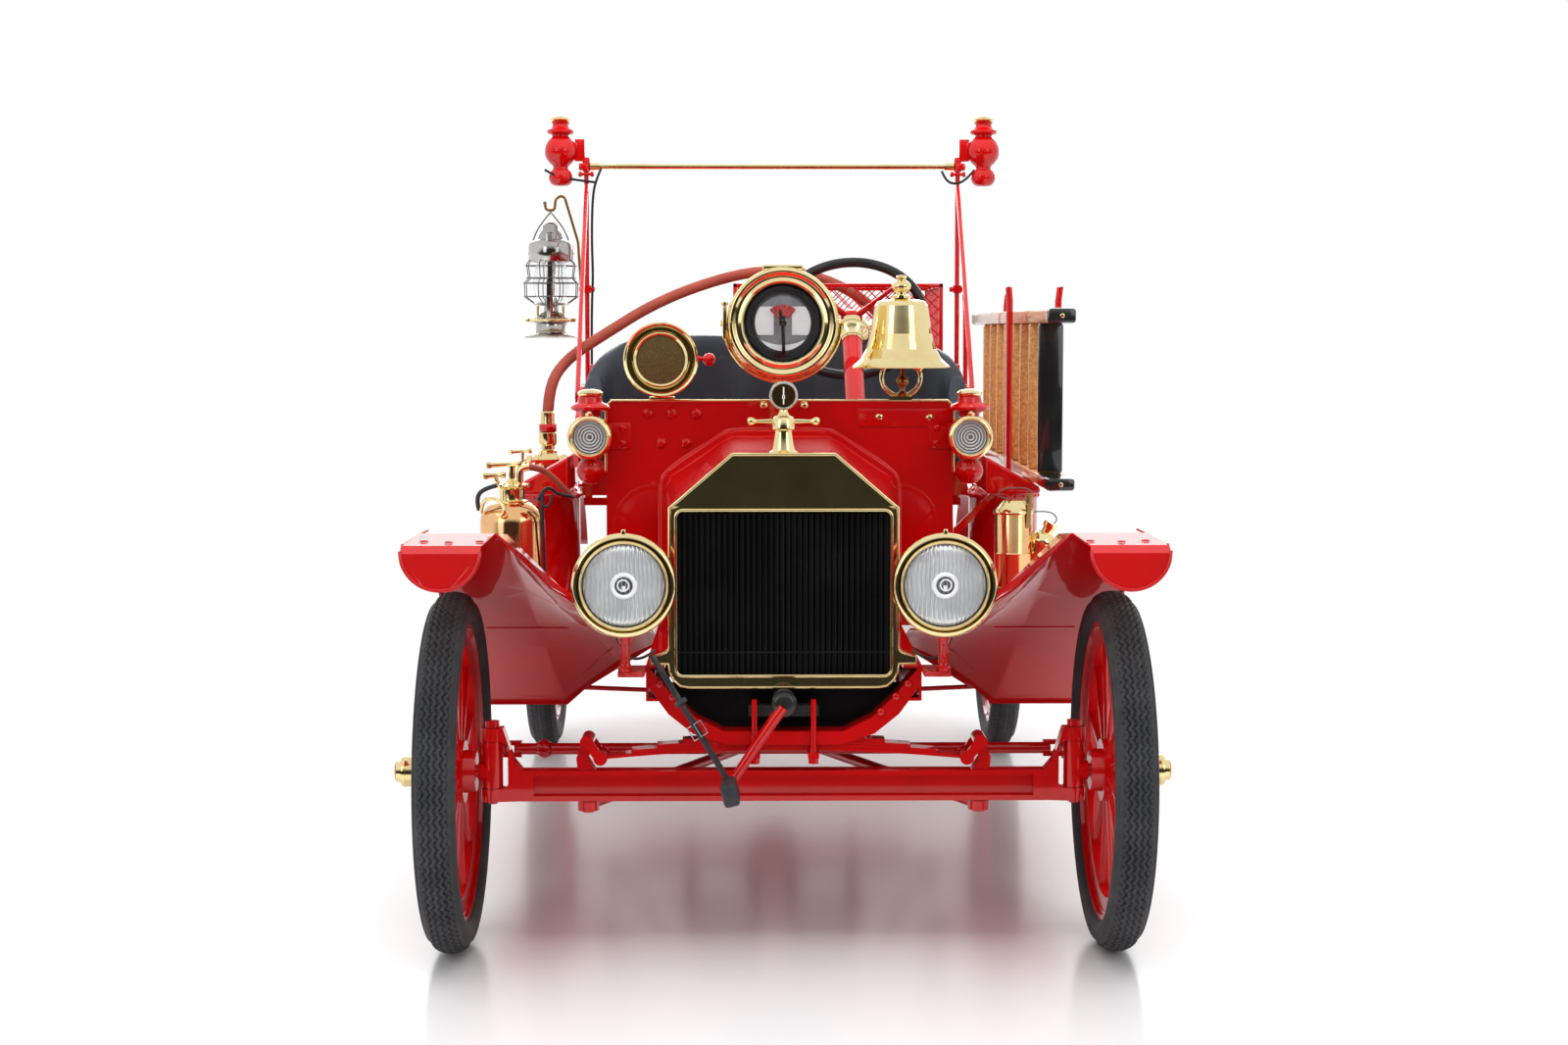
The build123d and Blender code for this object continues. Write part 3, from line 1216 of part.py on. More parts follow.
def hanging_lantern():
    """Plated lantern: oil tank, globe in a guard and vented hood, with its bail over the arm's hook."""
    place = (lantern_x, post_y, lantern_z)
    tank = turned([(0, 0), (0, 62), (8, 66), (34, 66), (44, 52), (56, 40), (60, 46), (66, 46), (66, 0)],
                  place, (0, 0, 1))
    globe = turned([(66, 0), (66, 40), (100, 56), (130, 58), (170, 46), (190, 38), (190, 0)], place,
                   (0, 0, 1))
    hood = turned([(190, 0), (190, 44), (196, 58), (214, 60), (222, 46), (262, 42), (270, 56), (280, 50),
                   (300, 20),
                   (306, 0)], place, (0, 0, 1))
    tubes = [rod((lantern_x + side * 56, post_y, lantern_z + 30),
                 (lantern_x + side * 88, post_y, lantern_z + 90), 13)
             for side in (-1, 1)]
    tubes += [rod((lantern_x + side * 88, post_y, lantern_z + 90),
                  (lantern_x + side * 88, post_y, lantern_z + 210), 13)
              for side in (-1, 1)]
    tubes += [rod((lantern_x + side * 88, post_y, lantern_z + 210),
                  (lantern_x + side * 40, post_y, lantern_z + 250), 13)
              for side in (-1, 1)]
    knuckles = [ball((lantern_x + side * 88, post_y, lantern_z + z), 13) for side in (-1, 1)
                for z in (90, 210)]
    bail_top = lantern_hook_z - 5 - seat_gap
    bail = [rod((lantern_x + side * 46, post_y, lantern_z + 216),
                (lantern_x + side * 30, post_y, bail_top - 50), 5)
            for side in (-1, 1)]
    bail += [rod((lantern_x + side * 30, post_y, bail_top - 50), (lantern_x + 2, post_y, bail_top - 2), 5)
             for side in (-1, 1)] + [ball((lantern_x, post_y, bail_top - 4), 8)]
    return [fused(tank, globe, hood, *tubes, *knuckles, *bail)]


# --- hose and basket ---
def lattice(u0, u1, z0, z1, place):
    """A flat panel of diamond mesh; place turns a (u, z) point into a point in space."""
    step_u = (u1 - u0 - 2 * lattice_edge) / lattice_columns
    step_z = (z1 - z0 - 2 * lattice_edge) / lattice_rows
    reach_u, reach_z = step_u / 2 - lattice_strand, step_z / 2 - lattice_strand
    centres = [(i + 0.5, j + 0.5) for i in range(lattice_columns) for j in range(lattice_rows)]
    centres += [(i, j) for i in range(1, lattice_columns) for j in range(1, lattice_rows)]
    holes = []
    for i, j in centres:
        u, z = u0 + lattice_edge + i * step_u, z0 + lattice_edge + j * step_z
        diamond = [(u - reach_u, z), (u, z + reach_z), (u + reach_u, z), (u, z - reach_z)]
        holes.append(Wire.make_polygon([place(*corner) for corner in diamond]))
    rim = Wire.make_polygon([place(*corner) for corner in ((u0, z0), (u1, z0), (u1, z1), (u0, z1))])
    return Face(rim, holes)


def hose_basket():
    """Open-topped basket: diamond-mesh walls and a floor in a frame of square bars."""
    x0, x1 = basket_x
    y0, y1 = basket_y
    z0, z1 = basket_z
    bar = basket_bar
    t = basket_sheet
    inset = 3.0
    side = lattice(y0 + 4, y1 - 4, z0, z1 - 2, lambda u, z: (x0 + inset, u, z))
    end = lattice(x0 + 4, x1 - 4, z0, z1 - 2, lambda u, z: (u, y0 + inset, z))
    sides = [Solid.extrude(side, Vector(t, 0, 0)).moved(Location((shift, 0, 0)))
             for shift in (0, x1 - x0 - 2 * inset - t)]
    ends = [Solid.extrude(end, Vector(0, t, 0)).moved(Location((0, shift, 0)))
            for shift in (0, y1 - y0 - 2 * inset - t)]
    floor = block(x0 + 4, x1 - 4, y0 + 4, y1 - 4, z0, z0 + t)
    posts = [block(x, x + bar, y, y + bar, z0, z1) for x in (x0, x1 - bar) for y in (y0, y1 - bar)]
    hoops = []
    for z in (z0, z1 - bar):
        hoops += [block(x0, x1, y, y + bar, z, z + bar) for y in (y0, y1 - bar)]
        hoops += [block(x, x + bar, y0, y1, z, z + bar) for x in (x0, x1 - bar)]
    return [fused(*sides, *ends, floor, *posts, *hoops)]


def coil_height():
    return coil_layers * hose_diameter


def hose_coil():
    """Closed outer shape of the wound hose in the bottom of the basket."""
    half = coil_turns_across * hose_diameter / 2 + 4
    low = basket_z[0] + basket_bar + seat_gap
    high = low + coil_height()
    return [turned([(0, coil_radius - half), (0, coil_radius + half), (high - low, coil_radius + half),
                    (high - low, coil_radius - half)], (coil_centre[0], coil_centre[1], low), (0, 0, 1))]


# Route of the free hose from the tank's coupling up over the basket's rim and down to the coil.
hose_route = [
    (-648.0, 1850.0, 1046.0),
    (-648.0, 1850.0, 1145.0),
    (-603.0, 1926.0, 1228.0),
    (-492.0, 2010.0, 1302.0),
    (-358.0, 2090.0, 1388.0),
    (-200.0, 2180.0, 1454.0),
    (-40.0, 2250.0, 1494.0),
    (125.0, 2262.0, 1482.0),
    (282.0, 2236.0, 1405.0),
    (378.0, 2330.0, 1290.0),
    (372.0, 2482.0, 1190.0),
    (250.0, 2582.0, 1120.0),
    (92.0, 2574.0, 1072.0),
    (2.0, 2462.0, 1054.0),
]


def route_radii(route):
    """Each corner's arc: 0.45 of the shorter run beside it over the tangent of half the turn."""
    radii = []
    for before, corner, after in zip(route, route[1:], route[2:]):
        first = Vector(*corner) - Vector(*before)
        second = Vector(*after) - Vector(*corner)
        turn = math.radians(first.get_angle(second))
        radii.append(0.45 * min(first.length, second.length) / math.tan(turn / 2))
    return radii


def hose_run():
    radii = route_radii(hose_route)
    print("hose radii", [round(radius) for radius in radii])
    tube = tube_along(hose_route, radii, hose_diameter)
    return [tube]


# --- ladder ---
def ladder():
    """Two rails and flat rungs, carried on edge along the left side."""
    x0, x1 = ladder_x
    y0, y1 = ladder_y
    rails = [block(x0, x1, y0, y1, z0, z1) for z0, z1 in (ladder_upper_z, ladder_lower_z)]
    count = int((y1 - y0 - 2 * rung_first) / rung_pitch) + 1
    rungs = [block(x0 + 2, x1 - 2, y, y + rung_thickness, ladder_lower_z[1] - 1, ladder_upper_z[0] + 1)
             for y in [y0 + rung_first + index * rung_pitch for index in range(count)]]
    return [fused(*rails, *rungs)]


def ladder_bracket(y):
    """U-shaped holder with flared tips, on a strut from the body's side."""
    inner = ladder_x[0] - 26
    outer = ladder_x[1] + 22
    t = 14.0
    low = ladder_lower_z[0] - seat_gap
    tip = ladder_upper_z[1] + 62
    shape = [(inner - 14, tip), (inner - t, tip - 40), (inner - t, low - t), (outer + t, low - t),
             (outer + t, tip - 40), (outer + t + 6, tip), (outer + 12, tip), (outer, tip - 38),
             (outer, low),
             (inner, low), (inner, tip - 38), (inner - 6, tip)]
    strut = prism([(bed_half, strut_root_z - 16), (bed_half, strut_root_z + 16), (inner - t + 1, low - 2),
                   (inner + 20, low - 8), (inner + 20, low - t), (inner - 8, low - t)], "y", y - 10, y + 10)
    return fused(prism(shape, "y", y - 15, y + 15), strut)


def ladder_brackets():
    return [ladder_bracket(y) for y in ladder_bracket_ys]


# --- equipment ---
def chemical_tanks():
    """Riveted upright tanks with domed ends, their valves and the hose coupling of the right-hand one."""
    r = tank_radius
    h = tank_shoulder_z - tank_bottom_z
    body = turned([(0, 0), (0, r - 26), (12, r), (h, r), (h + 22, r - 22), (h + 38, r - 60), (h + 42, 22),
                   (h + 62, 22),
                   (h + 62, 0)], (tank_x, tank_y, tank_bottom_z), (0, 0, 1))
    plain = turned([(0, 0), (0, r - 26), (12, r), (h, r), (h + 22, r - 22), (h + 38, r - 60),
                    (h + 42, 22), (h + 47, 20),
                    (h + 47, 0)], (tank_x, tank_y, tank_bottom_z), (0, 0, 1))
    foot = rod((tank_x, tank_y, board_top_z), (tank_x, tank_y, tank_bottom_z + 4), 2 * r - 40)
    band = turned([(h - 24, r - 2), (h - 24, r + 4), (h - 8, r + 4), (h - 8, r - 2)],
                  (tank_x, tank_y, tank_bottom_z),
                  (0, 0, 1))
    low_band = turned([(40, r - 2), (40, r + 4), (56, r + 4), (56, r - 2)],
                      (tank_x, tank_y, tank_bottom_z), (0, 0, 1))
    top = tank_bottom_z + h + 62
    left = fused(plain, foot, band, low_band)
    x, y, z = hose_route[0]
    coupling = turned([(0, 0), (0, 19), (z - top - 22, 19), (z - top - 22, 25), (z - top, 25),
                       (z - top, 0)],
                      (x, y, top), (0, 0, 1))
    right = fused(*[piece.mirror(Plane.YZ) for piece in (body, foot, band, low_band)], coupling)
    return [left, right]


def extinguisher():
    """Copper pump can on the right-hand board: domed shoulder, collar, T-handle and small hose elbow."""
    x, y = extinguisher_place
    r = extinguisher_radius
    low = board_top_z + seat_gap
    top = extinguisher_neck_z - low
    can = turned([(0, 0), (0, r), (10, r + 3), (18, r), (top - 60, r), (top - 30, r - 10),
                  (top - 8, r - 30),
                  (top, 28), (top + 8, 26), (top + 14, 34), (top + 40, 34), (top + 48, 24), (top + 50, 7),
                  (top + 84, 7), (top + 84, 0)], (x, y, low), (0, 0, 1))
    handle = rod((x - 46, y, low + top + 84), (x + 46, y, low + top + 84), 13)
    elbow = [rod((x - 26, y, low + top - 14), (x - r - 8, y, low + top + 6), 18),
             ball((x - r - 8, y, low + top + 6), 20),
             rod((x - r - 8, y, low + top + 6), (x - r - 8, y, low + 40), 16)]
    return [fused(can, handle, *elbow)]


def brass_canisters():
    """Copper can with a coned brass lid and a small round flask beside it, on the left-hand board."""
    low = board_top_z + seat_gap
    x, y, r = 572.0, 800.0, 46.0
    top = 858 - low
    can = turned([(0, 0), (0, r), (8, r + 3), (14, r), (top, r), (top + 6, r + 3), (top + 12, r),
                  (top + 36, r - 22),
                  (top + 44, r - 24), (top + 44, 0)], (x, y, low), (0, 0, 1))
    flask = turned([(0, 0), (0, 26), (top - 80, 26), (top - 66, 33), (top - 46, 33), (top - 30, 24),
                    (top - 26, 12),
                    (top - 10, 12), (top - 10, 0)], (x + 84, y + 14, low), (0, 0, 1))
    return [can, flask]


# --- every sub-part by name ---
sub_parts = {
    "chassis_frame": chassis_frame, "front_axle": front_axle, "front_spring": front_spring,
    "rear_axle": rear_axle, "rear_spring": rear_spring, "engine_block": engine_block,
    "radiator_shell": radiator_shell, "radiator_core": radiator_core, "radiator_cap": radiator_cap,
    "hood": hood, "firewall": firewall, "starting_crank": starting_crank, "crank_strap": crank_strap,
    "lamp_bodies": lamp_bodies, "lamp_rims": lamp_rims, "lamp_lenses": lamp_lenses,
    "searchlight": searchlight, "horn": horn, "bell": bell,
    "front_fender_left": front_fender_left, "front_fender_right": front_fender_right,
    "running_boards": running_boards, "rear_fenders": rear_fenders, "floor_boards": floor_boards,
    "seat_box": seat_box, "seat_cushion": seat_cushion, "seat_back": seat_back,
    "steering_column": steering_column, "steering_wheel": steering_wheel, "pitman_arm": pitman_arm,
    "knuckle_left": knuckle_left, "knuckle_right": knuckle_right, "tie_rod": tie_rod,
    "rear_bed": rear_bed, "rear_posts": rear_posts, "post_rail": post_rail, "post_lamps": post_lamps,
    "lantern_arm": lantern_arm, "hanging_lantern": hanging_lantern, "hose_basket": hose_basket,
    "hose_coil": hose_coil, "hose_run": hose_run, "ladder": ladder, "ladder_brackets": ladder_brackets,
    "chemical_tanks": chemical_tanks, "extinguisher": extinguisher, "brass_canisters": brass_canisters,
}


def wheel_parts():
    """The four wheels and tyres, made on the left and mirrored for the right."""
    made = {}
    for place, wheel, centre in (("front", front_wheel(), (front_tread / 2, 0, front_tyre_width)),
                                 ("rear", rear_wheel(), (rear_tread / 2, wheelbase, rear_tyre_width))):
        rubber = tyre(*centre)
        made["wheel_" + place + "_left"] = [wheel]
        made["tyre_" + place + "_left"] = [rubber]
        made["wheel_" + place + "_right"] = [wheel.mirror(Plane.YZ)]
        made["tyre_" + place + "_right"] = [rubber.mirror(Plane.YZ)]
    return made


def whole():
    nodes = {name: make() for name, make in sub_parts.items()}
    nodes.update(wheel_parts())
    home = Pos(0, -origin_y, 0)
    return {name: home * Compound([piece for shape in shapes for piece in shape.solids()])
            for name, shapes in nodes.items()}


os.makedirs("parts", exist_ok=True)
for name, shape in whole().items():
    export_step(shape, "parts/" + name + ".step")
print("origin is", origin_y, "behind the front axle")
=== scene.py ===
import bpy
import json
import math
from mathutils import Matrix, Vector

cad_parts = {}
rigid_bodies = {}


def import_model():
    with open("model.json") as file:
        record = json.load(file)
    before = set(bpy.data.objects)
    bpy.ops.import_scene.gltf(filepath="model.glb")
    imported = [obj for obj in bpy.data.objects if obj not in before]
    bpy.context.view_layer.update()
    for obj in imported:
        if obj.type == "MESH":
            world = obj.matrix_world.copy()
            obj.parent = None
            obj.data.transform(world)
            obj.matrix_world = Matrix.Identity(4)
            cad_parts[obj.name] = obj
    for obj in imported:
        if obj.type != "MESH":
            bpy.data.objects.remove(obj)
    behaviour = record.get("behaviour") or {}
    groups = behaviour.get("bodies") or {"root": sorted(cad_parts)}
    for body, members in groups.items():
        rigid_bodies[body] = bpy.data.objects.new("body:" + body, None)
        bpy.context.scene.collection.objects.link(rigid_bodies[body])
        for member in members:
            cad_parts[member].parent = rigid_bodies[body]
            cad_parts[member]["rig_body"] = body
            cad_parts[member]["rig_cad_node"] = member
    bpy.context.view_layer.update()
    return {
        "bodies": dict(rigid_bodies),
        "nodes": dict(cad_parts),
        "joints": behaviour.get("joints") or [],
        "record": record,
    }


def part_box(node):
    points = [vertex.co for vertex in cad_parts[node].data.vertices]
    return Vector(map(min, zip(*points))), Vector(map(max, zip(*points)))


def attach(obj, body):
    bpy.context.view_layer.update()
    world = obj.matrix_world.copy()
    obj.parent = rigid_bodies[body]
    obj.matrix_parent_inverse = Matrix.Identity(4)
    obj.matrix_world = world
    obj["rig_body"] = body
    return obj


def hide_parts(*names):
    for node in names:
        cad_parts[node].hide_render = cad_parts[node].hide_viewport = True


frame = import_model()
nodes = frame["nodes"]
print("stage: frame loaded")


camera = {"place": (-0.071, -6.4775, 1.315), "pitchDown": 4.526, "yawRight": 0.802, "lens": 55.99, "sensor": 36.0}
light = {"skyLevel": 0.68, "keyWatts": 240, "fillWatts": 30, "backWatts": 110, "mirrorLevel": 0.92,
         "darkBelow": (0.10, (0.035, 0.033, 0.030, 1)), "whiteAbove": (0.34, (1, 1, 1, 1)), "white": (1, 1, 1, 1)}
floor = {"half": 40.0, "fade": (2.2, 4.5), "front": -3.2, "colour": (0.90, 0.90, 0.91), "roughness": 0.16}


def pick(piece=None):                                  # operators act on all that is selected, so only this is
    if bpy.context.mode != "OBJECT":
        bpy.ops.object.mode_set(mode="OBJECT")
    bpy.ops.object.select_all(action="DESELECT")
    if piece:
        piece.select_set(True)
        bpy.context.view_layer.objects.active = piece


def add(tree, kind, sockets, **settings):              # a socket takes a value, or a link where it gets a socket
    node = tree.nodes.new("ShaderNode" + kind)
    for name, value in settings.items():
        setattr(node, name, value)
    for name, value in sockets.items():
        if isinstance(value, bpy.types.NodeSocket):
            tree.links.new(value, node.inputs[name])
        else:
            node.inputs[name].default_value = value
    return node


def addRamp(tree, share, low, high):
    ramp = add(tree, "ValToRGB", {0: share})
    for element, (position, colour) in zip(ramp.color_ramp.elements, (low, high)):
        element.position, element.color = position, colour
    return ramp.outputs[0]


def newFinish(name, sockets):
    finish = bpy.data.materials.new(name)
    finish.use_nodes = True
    shader = finish.node_tree.nodes["Principled BSDF"]
    for socket, value in sockets.items():
        shader.inputs[socket].default_value = value
    return finish, finish.node_tree, shader


def makeCamera():
    bpy.ops.object.camera_add(location=camera["place"])
    eye = bpy.context.object
    eye.name = "viewCamera"
    eye.rotation_euler = (math.radians(90 - camera["pitchDown"]), 0, math.radians(-camera["yawRight"]))
    eye.data.lens = camera["lens"]
    eye.data.sensor_width = camera["sensor"]
    eye.data.clip_end = 200
    bpy.context.scene.camera = eye


def makeLamp(name, place, target, size, watts):
    bpy.ops.object.light_add(type="AREA", location=place)
    lamp = bpy.context.object
    lamp.name = name
    lamp.data.shape = "RECTANGLE"
    lamp.data.size, lamp.data.size_y = size
    lamp.data.energy = watts
    lamp.rotation_euler = (Vector(target) - Vector(place)).to_track_quat("-Z", "Y").to_euler()
    lamp.visible_camera = False
    return lamp


def makeWorld():
    world = bpy.data.worlds.new("studio")
    bpy.context.scene.world = world
    world.use_nodes = True
    tree = world.node_tree
    tree.nodes.clear()
    path = add(tree, "LightPath", {}).outputs
    way = add(tree, "SeparateXYZ", {0: add(tree, "TexCoord", {}).outputs["Generated"]}).outputs
    back = add(tree, "Math", {0: way["Y"], 1: 0.55, 2: 0.50}, operation="MULTIPLY_ADD").outputs[0]
    rise = add(tree, "Math", {0: way["Z"], 1: 0.60, 2: back}, operation="MULTIPLY_ADD").outputs[0]
    shade = addRamp(tree, rise, light["darkBelow"], light["whiteAbove"])    # dark behind the camera, white above
    mirror = add(tree, "Background", {"Color": shade, "Strength": light["mirrorLevel"]}).outputs[0]
    sky = add(tree, "Background", {"Color": light["white"], "Strength": light["skyLevel"]}).outputs[0]
    plain = add(tree, "Background", {"Color": light["white"], "Strength": 1.0}).outputs[0]
    lit = add(tree, "MixShader", {0: path["Is Glossy Ray"], 1: sky, 2: mirror}).outputs[0]
    seen = add(tree, "Math", {0: path["Is Camera Ray"], 1: path["Is Transmission Ray"]}, operation="MAXIMUM").outputs[0]
    shown = add(tree, "MixShader", {0: seen, 1: lit, 2: plain}).outputs[0]
    add(tree, "OutputWorld", {"Surface": shown})


def makeFloor():
    bpy.ops.mesh.primitive_plane_add(size=2 * floor["half"], location=(0, floor["half"] + floor["front"], -0.0005))
    slab = bpy.context.object
    slab.name = "studioFloor"
    finish, tree, shader = newFinish("studioFloor", {"Base Color": (*floor["colour"], 1),
            "Roughness": floor["roughness"]})
    place = add(tree, "NewGeometry", {}).outputs["Position"]
    reach = add(tree, "VectorMath", {0: place}, operation="LENGTH").outputs["Value"]    # distance from the object
    fade = add(tree, "MapRange", {"Value": reach, "From Min": floor["fade"][0], "From Max": floor["fade"][1]})
    glow = add(tree, "Emission", {"Color": light["white"]})
    blend = add(tree, "MixShader", {0: fade.outputs["Result"], 1: shader.outputs[0], 2: glow.outputs[0]})
    tree.links.new(blend.outputs[0], tree.nodes["Material Output"].inputs["Surface"])
    slab.data.materials.append(finish)


pick()
makeCamera()
makeLamp("overheadKey", (0.0, -0.6, 4.6), (0, 0.2, 0), (5.0, 6.0), light["keyWatts"]).visible_glossy = False
makeLamp("frontLeft", (-3.8, -5.0, 2.8), (0, -0.5, 0.7), (2.0, 3.0), light["fillWatts"])
makeLamp("frontRight", (3.8, -5.0, 2.8), (0, -0.5, 0.7), (2.0, 3.0), light["fillWatts"])
makeLamp("behind", (0, 5.0, 3.0), (0, 0.5, 0.9), (5.0, 2.0), light["backWatts"])
makeWorld()
makeFloor()
bpy.context.scene.view_settings.view_transform = "Standard"
print("stage: camera, lights and floor")


# colour wanders to vary over the surface; rough is the range of gloss; bump is in metres
finishes = {
    "fireRed": {"slot": "red_paint", "colour": (0.56, 0.0006, 0.0014), "vary": (0.45, 0.0004, 0.0009),
                "rough": (0.26, 0.36), "scale": 3, "coat": 1.0, "specular": 0.08, "bump": 0.00003, "bumpScale": 260},
    "brightBrass": {"slot": "brass", "colour": (0.93, 0.78, 0.42), "vary": (0.82, 0.64, 0.30), "metal": 1.0,
                    "rough": (0.05, 0.13), "scale": 7, "bump": 0.00002, "bumpScale": 220},
    "polishedCopper": {"slot": "copper", "colour": (0.92, 0.56, 0.27), "vary": (0.80, 0.40, 0.17), "metal": 1.0,
                       "rough": (0.07, 0.17), "scale": 9, "bump": 0.00003},
    "nickelPlate": {"slot": "nickel", "colour": (0.56, 0.55, 0.53), "vary": (0.40, 0.395, 0.385), "metal": 1.0,
                    "rough": (0.06, 0.18), "scale": 12, "bump": 0.00002, "bumpScale": 260},
    "blackEnamel": {"slot": "black_metal", "colour": (0.006, 0.006, 0.007), "vary": (0.011, 0.011, 0.012),
                    "rough": (0.30, 0.42), "scale": 8, "coat": 0.06, "specular": 0.04, "bump": 0.00005},
    "castIron": {"slot": "dark_iron", "colour": (0.018, 0.017, 0.017), "vary": (0.040, 0.037, 0.035), "metal": 0.3,
                 "rough": (0.50, 0.72), "scale": 14, "bump": 0.0004, "bumpScale": 140},
    "blackLeather": {"slot": "black_leather", "colour": (0.022, 0.026, 0.033), "vary": (0.036, 0.041, 0.050),
                     "rough": (0.34, 0.48), "scale": 6, "coat": 0.12, "bump": 0.0004, "bumpScale": 420, "cells": True},
    "wheelRubber": {"slot": "tyre_rubber", "colour": (0.030, 0.031, 0.034), "vary": (0.055, 0.056, 0.060),
                    "rough": (0.52, 0.70), "scale": 10, "bump": 0.0002, "bumpScale": 300},
    "hoseRubber": {"slot": "red_rubber", "colour": (0.36, 0.065, 0.038), "vary": (0.27, 0.045, 0.028),
                   "rough": (0.50, 0.66), "scale": 12, "bump": 0.0003, "bumpScale": 320},
    "glossBlack": {"slot": "black_metal", "colour": (0.010, 0.010, 0.011), "vary": (0.018, 0.018, 0.019),
                   "rough": (0.20, 0.30), "scale": 8, "coat": 0.9, "bump": 0.0003, "bumpScale": 60},
    "hornGauze": {"slot": "brass", "colour": (0.15, 0.110, 0.042), "vary": (0.28, 0.21, 0.085), "metal": 0.8,
                  "rough": (0.40, 0.55), "scale": 330, "bump": 0.0006, "bumpScale": 330},
    "mirrorSilver": {"slot": "nickel", "colour": (0.74, 0.75, 0.77), "vary": (0.60, 0.61, 0.64), "metal": 1.0,
                     "rough": (0.08, 0.16), "scale": 9, "bump": 0.00001},
    "agedBrass": {"slot": "brass", "colour": (0.40, 0.24, 0.085), "vary": (0.26, 0.15, 0.05), "metal": 1.0,
                  "rough": (0.18, 0.32), "scale": 12, "bump": 0.00004},
    "dullSteel": {"slot": "nickel", "colour": (0.13, 0.13, 0.13), "vary": (0.20, 0.20, 0.20), "metal": 0.7,
                  "rough": (0.30, 0.45), "scale": 12, "bump": 0.00004},
    "finBlack": {"slot": "black_metal", "colour": (0.013, 0.013, 0.014), "vary": (0.020, 0.020, 0.021),
                 "rough": (0.45, 0.60), "scale": 12, "specular": 0.05, "bump": 0.00004},
    # a mirror darkened in its colour: painted shade of a dark reflection
    "reflectorPaintedDark": {"slot": "nickel", "colour": (0.25, 0.25, 0.26), "vary": (0.14, 0.14, 0.15), "metal": 0.4,
                     "rough": (0.18, 0.28), "scale": 20, "coat": 0.4, "bump": 0.00001},
    "paleSilver": {"slot": "clear_glass", "colour": (0.82, 0.84, 0.86), "vary": (0.66, 0.69, 0.72), "metal": 0.3,
                   "rough": (0.12, 0.22), "scale": 14, "coat": 1.0, "bump": 0.00001},
    # plain white gloss, also used for the painted reflection patches on the searchlight mirror
    "whiteGloss": {"slot": "nickel", "colour": (0.92, 0.93, 0.94), "vary": (0.84, 0.85, 0.88),
                     "rough": (0.06, 0.12), "scale": 20, "coat": 1.0, "bump": 0.00001},
    "blackRubber": {"slot": "black_rubber", "colour": (0.012, 0.012, 0.013), "vary": (0.022, 0.022, 0.023),
                    "rough": (0.24, 0.36), "scale": 8, "coat": 0.3, "bump": 0.00005},
}
wood = {"stretch": (60, 4, 60), "dark": (0.34, (0.42, 0.165, 0.035, 1)), "pale": (0.66, (0.80, 0.42, 0.13, 1))}
glassTint = (0.96, 0.97, 0.97, 1)
flutedMetal = 0.50                                     # the mirror lies close behind the ribbed glass


def finishShader(tree, shader, colour, height, bump, rough=None):
    lift = add(tree, "Bump", {"Height": height, "Distance": bump, "Strength": 1.0})
    tree.links.new(colour, shader.inputs["Base Color"])
    tree.links.new(lift.outputs[0], shader.inputs["Normal"])
    if rough:
        tree.links.new(rough, shader.inputs["Roughness"])


def buildFinish(name, spec):
    finish, tree, shader = newFinish(name, {"Metallic": spec.get("metal", 0.0), "Coat Weight": spec.get("coat", 0.0),
                                            "Coat Roughness": 0.03, "Specular IOR Level": spec.get("specular", 0.3)})
    place = add(tree, "TexCoord", {}).outputs["Object"]
    cloud = add(tree, "TexNoise", {"Vector": place, "Scale": spec["scale"], "Detail": 6.0, "Roughness": 0.6})
    edge = add(tree, "MapRange", {"Value": cloud.outputs["Fac"], "From Min": 0.42, "From Max": 0.68})
    blend = add(tree, "Mix", {0: edge.outputs["Result"], 6: (*spec["colour"], 1), 7: (*spec["vary"], 1)},
            data_type="RGBA")
    smudge = add(tree, "TexNoise", {"Vector": place, "Scale": spec["scale"] * 3.7, "Detail": 4.0})
    low, high = spec["rough"]
    gloss = add(tree, "MapRange", {"Value": smudge.outputs["Fac"], "To Min": low, "To Max": high})
    fine = {"Vector": place, "Scale": spec.get("bumpScale", 200)}
    if spec.get("cells"):
        grain = add(tree, "TexVoronoi", fine, feature="DISTANCE_TO_EDGE").outputs["Distance"]
    else:
        grain = add(tree, "TexNoise", {**fine, "Detail": 3.0}).outputs["Fac"]
    finishShader(tree, shader, blend.outputs[2], grain, spec["bump"], gloss.outputs["Result"])
    return finish


def buildWood():
    finish, tree, shader = newFinish("varnishedOak", {"Coat Weight": 0.8, "Coat Roughness": 0.06, "Roughness": 0.4})
    place = add(tree, "TexCoord", {}).outputs["Object"]
    stretch = add(tree, "Mapping", {"Vector": place, "Scale": wood["stretch"]}).outputs[0]
    grain = add(tree, "TexNoise", {"Vector": stretch, "Scale": 2.2, "Detail": 8.0, "Roughness": 0.65,
            "Distortion": 0.6})
    grain = grain.outputs["Fac"]
    finishShader(tree, shader, addRamp(tree, grain, wood["dark"], wood["pale"]), grain, 0.0003)
    return finish


paint = {name: buildFinish(name, spec) for name, spec in finishes.items()}
paint["varnishedOak"] = buildWood()
paint["lampGlass"] = newFinish("lampGlass", {"Base Color": glassTint, "Transmission Weight": 1.0, "Roughness": 0.02,
                                             "IOR": 1.30})[0]
paint["flutedGlass"] = buildFinish("flutedGlass", finishes["paleSilver"])
paint["flutedGlass"].node_tree.nodes["Principled BSDF"].inputs["Metallic"].default_value = flutedMetal
slotOf = {name: spec["slot"] for name, spec in finishes.items()}
slotOf.update(varnishedOak="varnished_wood", lampGlass="clear_glass", flutedGlass="clear_glass")

